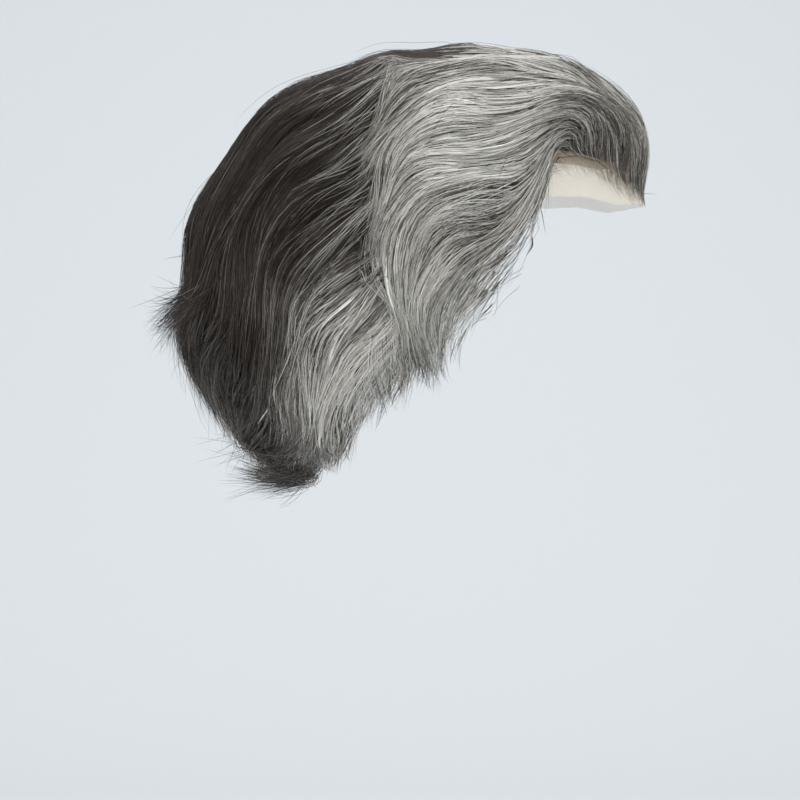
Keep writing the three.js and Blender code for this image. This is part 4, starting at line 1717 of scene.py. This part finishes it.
def dress(piece: bpy.types.Object, material: bpy.types.Material, nodes: tuple[str, ...]) -> None:
    """Gives a piece its finish and its place in the frame.

    Args:
        piece: The new piece.
        material: Its material.
        nodes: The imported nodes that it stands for.
    """
    piece.data.materials.clear()
    piece.data.materials.append(material)
    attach(piece, ROOT)
    if nodes:
        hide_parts(*nodes)
    LOG.info("%s: %d faces", piece.name, len(piece.data.polygons))


@dataclass
class Wig:
    """All the hair: its tresses and the dense hair under them."""

    form: HairForm
    sharp_from: float = math.radians(75)
    under_depth: float = 0.0026
    under_edge_cells: int = 4
    under_stride: int = 2
    bare_side_cells: int = 9
    rim_passes: int = 10
    mat_gap: float = 0.0003
    mat_share: tuple[float, float] = (0.35, 0.7)
    least_mat: float = 0.0004

    def build(self) -> None:
        """Grows and dresses every tress."""
        combing = Combing(self.form)
        kinds = {"hair_silver": SILVER_HAIR, "hair_ash": ASH_HAIR, "hair_dark": DARK_HAIR}
        finishes = {slot: finish.material() for slot, finish in kinds.items()}
        for tress in TRESSES:
            parts = [combing.grow(tress, kind, count).mesh_arrays() for kind, count in tress.counts.items()]
            dress(self._joined(tress.name, parts), finishes[tress.slot], tress.stands_for)
        for curl in CURLS:
            parts = [combing.curl(curl, kind, count).mesh_arrays() for kind, count in curl.counts.items()]
            dress(self._joined(curl.name, parts), finishes["hair_dark"], (NAPE,))
        dress(self._under_hair(), UNDER_HAIR.material(), ())

    def _joined(self, name: str, parts: list[dict[str, np.ndarray]]) -> bpy.types.Object:
        """Joins strands into one smooth piece.

        Args:
            name: The piece's name.
            parts: The strands' arrays, for each kind of strand.

        Returns:
            The piece.
        """
        piece = mesh_object(name, parts)
        select_only(piece)
        bpy.ops.object.shade_smooth_by_angle(angle=self.sharp_from)
        return piece

    def near_edge(self, cells: int) -> np.ndarray:
        """Marks the cells near the hair's edge.

        Args:
            cells: How many cells from the edge count.

        Returns:
            1 in those cells and 0 elsewhere.
        """
        inside = self.form.covered.copy()
        for _ in range(cells):
            inside = narrowed(inside)
        return self.form.covered - inside

    def _under_hair(self) -> bpy.types.Object:
        """Builds the dense hair close to the cap, as a thin closed mat.

        Returns:
            The mat.
        """
        form, stride = self.form, self.under_stride
        inside = form.covered * (1 - form.near(set(SIDES), 0) * self.near_edge(self.bare_side_cells))
        inside = inside * (1 - self.near_edge(self.under_edge_cells))
        fields = (inside, self._mat_thickness(inside), self._mat_tone(), form.chart.directions, form.inner)
        inside, thick, grey, ways, low = (values[::stride, ::stride] for values in fields)
        kept = inside > 0
        number = np.full(inside.shape, -1)
        number[kept] = np.arange(kept.sum())
        low = low[kept] + self.mat_gap
        high = low + thick[kept]
        vertices = np.concatenate([EAR_AXIS + ways[kept] * reach[:, None] for reach in (high, low)])
        faces, rim = self._mat_faces(number)
        mesh = bpy.data.meshes.new("under_hair")
        mesh.from_pydata(self._rounded_rim(vertices, rim).tolist(), [], faces)
        share = np.tile(grey[kept], 2).astype(np.float32)
        mesh.attributes.new("grey", "FLOAT", "POINT").data.foreach_set("value", share)
        piece = bpy.data.objects.new("under_hair", mesh)
        bpy.context.collection.objects.link(piece)
        select_only(piece)
        bpy.ops.object.mode_set(mode="EDIT")
        bpy.ops.mesh.select_all(action="SELECT")
        bpy.ops.mesh.delete_loose()
        bpy.ops.mesh.select_all(action="SELECT")
        bpy.ops.mesh.normals_make_consistent(inside=False)
        bpy.ops.object.mode_set(mode="OBJECT")
        bpy.ops.object.shade_smooth()
        return piece

    def _mat_thickness(self, inside: np.ndarray) -> np.ndarray:
        """Works out how thick the mat is, thinning towards its edge.

        Args:
            inside: 1 in the mat's cells.

        Returns:
            The thickness at each cell.
        """
        room = self.form.outer - self.form.inner - 2 * self.mat_gap
        least, most = self.mat_share
        full = np.maximum(np.minimum(room - self.under_depth, room * most), room * least)
        return full * blurred(inside, 8) + self.least_mat

    def _mat_tone(self) -> np.ndarray:
        """Mixes the grey of the two lays over the chart.

        Returns:
            The share of grey at each cell.
        """
        form = self.form
        falling = blurred(form.area({CROWN, NAPE, *SWIRLS}), 3)
        surface = form.on_surface(form.chart.directions)
        return grey_share(surface, Lay.SWEPT) * (1 - falling) + grey_share(surface, Lay.FALLING) * falling

    @staticmethod
    def _mat_faces(number: np.ndarray) -> tuple[list, np.ndarray]:
        """Joins the mat's points into an outer sheet, an inner sheet and a wall round the edge.

        Args:
            number: The number of each cell's outer point, -1 where there is none.

        Returns:
            The faces, and the pairs of points that the edge joins.
        """
        corners = [number[:-1, :-1], number[1:, :-1], number[1:, 1:], number[:-1, 1:]]
        square = np.stack(corners, axis=-1).reshape(-1, 4)
        square = square[(square >= 0).all(axis=1)]
        count = int(number.max()) + 1
        edges = np.concatenate([square[:, [k, (k + 1) % 4]] for k in range(4)])
        known = {tuple(edge) for edge in edges.tolist()}
        rim = [(a, b) for a, b in known if (b, a) not in known]
        walls = [(b, a, a + count, b + count) for a, b in rim]
        joined = np.array(rim + [(a + count, b + count) for a, b in rim])
        return square.tolist() + (square[:, ::-1] + count).tolist() + walls, joined

    def _rounded_rim(self, vertices: np.ndarray, rim: np.ndarray) -> np.ndarray:
        """Takes the steps out of the mat's edge.

        Args:
            vertices: The mat's points.
            rim: The pairs of points that the edge joins.

        Returns:
            The points with the edge drawn smooth.
        """
        smooth = vertices.copy()
        first, second = rim[:, 0], rim[:, 1]
        for _ in range(self.rim_passes):
            total, number = np.zeros_like(smooth), np.zeros(len(smooth))
            for here, other in ((first, second), (second, first)):
                np.add.at(total, here, smooth[other])
                np.add.at(number, here, 1)
            on_rim = number > 0
            smooth[on_rim] = (smooth[on_rim] + total[on_rim] / number[on_rim, None]) / 2
        return smooth


@dataclass
class Foundation:
    """The cap that the hair is tied to and the lace along the forehead."""

    cap_levels: int = 1
    lace_levels: int = 2

    def build(self, frame: dict) -> None:
        """Builds and dresses the cap and the lace.

        Args:
            frame: The loaded frame.
        """
        cap = self._refined("cap_shell", frame["nodes"]["base_cap"], self.cap_levels)
        dress(cap, CAP_NET.material(), ("base_cap",))
        lace = self._refined("lace_band", frame["nodes"]["lace_front"], self.lace_levels)
        dress(lace, LACE_NET.material(), ("lace_front",))

    def _refined(self, name: str, node: bpy.types.Object, levels: int) -> bpy.types.Object:
        """Copies a packed wall and rounds its facets.

        Args:
            name: The new piece's name.
            node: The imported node.
            levels: How often each facet is split.

        Returns:
            The rounded copy.
        """
        piece = bpy.data.objects.new(name, node.data.copy())
        bpy.context.collection.objects.link(piece)
        select_only(piece)
        bpy.ops.object.mode_set(mode="EDIT")
        bpy.ops.mesh.select_all(action="SELECT")
        bpy.ops.mesh.remove_doubles(threshold=0.00001)
        bpy.ops.mesh.tris_convert_to_quads()
        bpy.ops.object.mode_set(mode="OBJECT")
        rounding = piece.modifiers.new("rounding", "SUBSURF")
        rounding.levels = levels
        rounding.render_levels = levels
        bpy.ops.object.modifier_apply(modifier=rounding.name)
        bpy.ops.object.shade_smooth_by_angle(angle=math.radians(50))
        return piece


@dataclass(frozen=True)
class SoftLight:
    """A soft square light: where it stands, its side, its watts and where it points."""

    name: str
    place: tuple[float, float, float]
    size: float
    power: float
    aim: tuple[float, float, float] = (0.0, 0.0, -0.09)

    def add(self) -> None:
        """Adds the light to the scene."""
        data = bpy.data.lights.new(self.name, "AREA")
        data.size = self.size
        data.energy = self.power
        light = bpy.data.objects.new(self.name, data)
        bpy.context.collection.objects.link(light)
        light.location = self.place
        light.rotation_euler = (Vector(self.aim) - Vector(self.place)).to_track_quat("-Z", "Y").to_euler()


LIGHTS = (
    SoftLight("key", place=(0.25, -1.25, 0.75), size=1.0, power=13.0),
    SoftLight("fill", place=(-1.0, -0.9, 0.1), size=1.2, power=6.0),
    SoftLight("top", place=(0.0, 0.25, 1.1), size=1.2, power=7.5),
    SoftLight("face", place=(1.2, -0.2, 0.1), size=0.9, power=4.5),
    SoftLight("backdrop", place=(0.0, 1.4, 1.6), size=1.8, power=27.0, aim=(0.0, 3.1, -0.3)),
)


@dataclass
class Studio:
    """The plain floor that sweeps up behind, the soft lights and the camera."""

    frame_width: float = 0.368
    frame_middle: tuple[float, float] = (-0.0106, -0.1527)
    camera_distance: float = 2.0
    sensor: float = 36.0
    floor_level: float = -0.53
    floor_front: float = -5.0
    floor_back: float = 2.2
    sweep: float = 0.9
    width: float = 10.0
    height: float = 4.0
    sweep_steps: int = 24
    air_colour: Colour = (0.93, 0.96, 1.0, 1)
    air_strength: float = 0.72

    def build(self) -> None:
        """Sets up the whole studio."""
        self._camera()
        self._floor()
        for light in LIGHTS:
            light.add()
        world = bpy.data.worlds.new("pale_air")
        world.use_nodes = True
        world.node_tree.nodes["Background"].inputs[0].default_value = self.air_colour
        world.node_tree.nodes["Background"].inputs[1].default_value = self.air_strength
        bpy.context.scene.world = world
        bpy.context.scene.view_settings.view_transform = "Standard"

    def _camera(self) -> None:
        """Places the camera square to the right profile."""
        data = bpy.data.cameras.new("camera")
        data.sensor_width = self.sensor
        data.lens = self.sensor * self.camera_distance / self.frame_width
        camera = bpy.data.objects.new("camera", data)
        bpy.context.collection.objects.link(camera)
        camera.location = (self.frame_middle[0], -self.camera_distance, self.frame_middle[1])
        camera.rotation_euler = (math.pi / 2, 0, 0)
        bpy.context.scene.camera = camera

    def _floor(self) -> None:
        """Builds the floor and the backdrop as one swept sheet."""
        bpy.ops.object.select_all(action="DESELECT")
        bpy.ops.mesh.primitive_plane_add(size=1.0, location=(0, 0, self.floor_level))
        floor = bpy.context.object
        floor.name = "floor"
        mesh = floor.data
        mesh.clear_geometry()
        turns = np.linspace(0, math.pi / 2, self.sweep_steps)
        run = [(self.floor_front, 0.0)]
        run += [(self.floor_back + self.sweep * math.sin(t), self.sweep * (1 - math.cos(t))) for t in turns]
        run.append((self.floor_back + self.sweep, self.height))
        half = self.width / 2
        points = [(x, y, z) for y, z in run for x in (-half, half)]
        faces = [(2 * k, 2 * k + 1, 2 * k + 3, 2 * k + 2) for k in range(len(run) - 1)]
        mesh.from_pydata(points, [], faces)
        select_only(floor)
        bpy.ops.object.transform_apply(location=True, rotation=True, scale=True)
        bpy.ops.object.shade_smooth()
        mesh.materials.append(PALE_PAINT.material())


def main() -> None:
    """Builds the studio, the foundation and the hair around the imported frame."""
    logging.basicConfig(level=logging.INFO, format="%(name)s: %(message)s")
    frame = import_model()
    Studio().build()
    names = [name for name in sorted(frame["nodes"]) if name.endswith(("_hair", "_right", "_left"))]
    form = HairForm({name: frame["nodes"][name] for name in names})
    Foundation().build(frame)
    Wig(form).build()


if __name__ == "__main__":
    main()
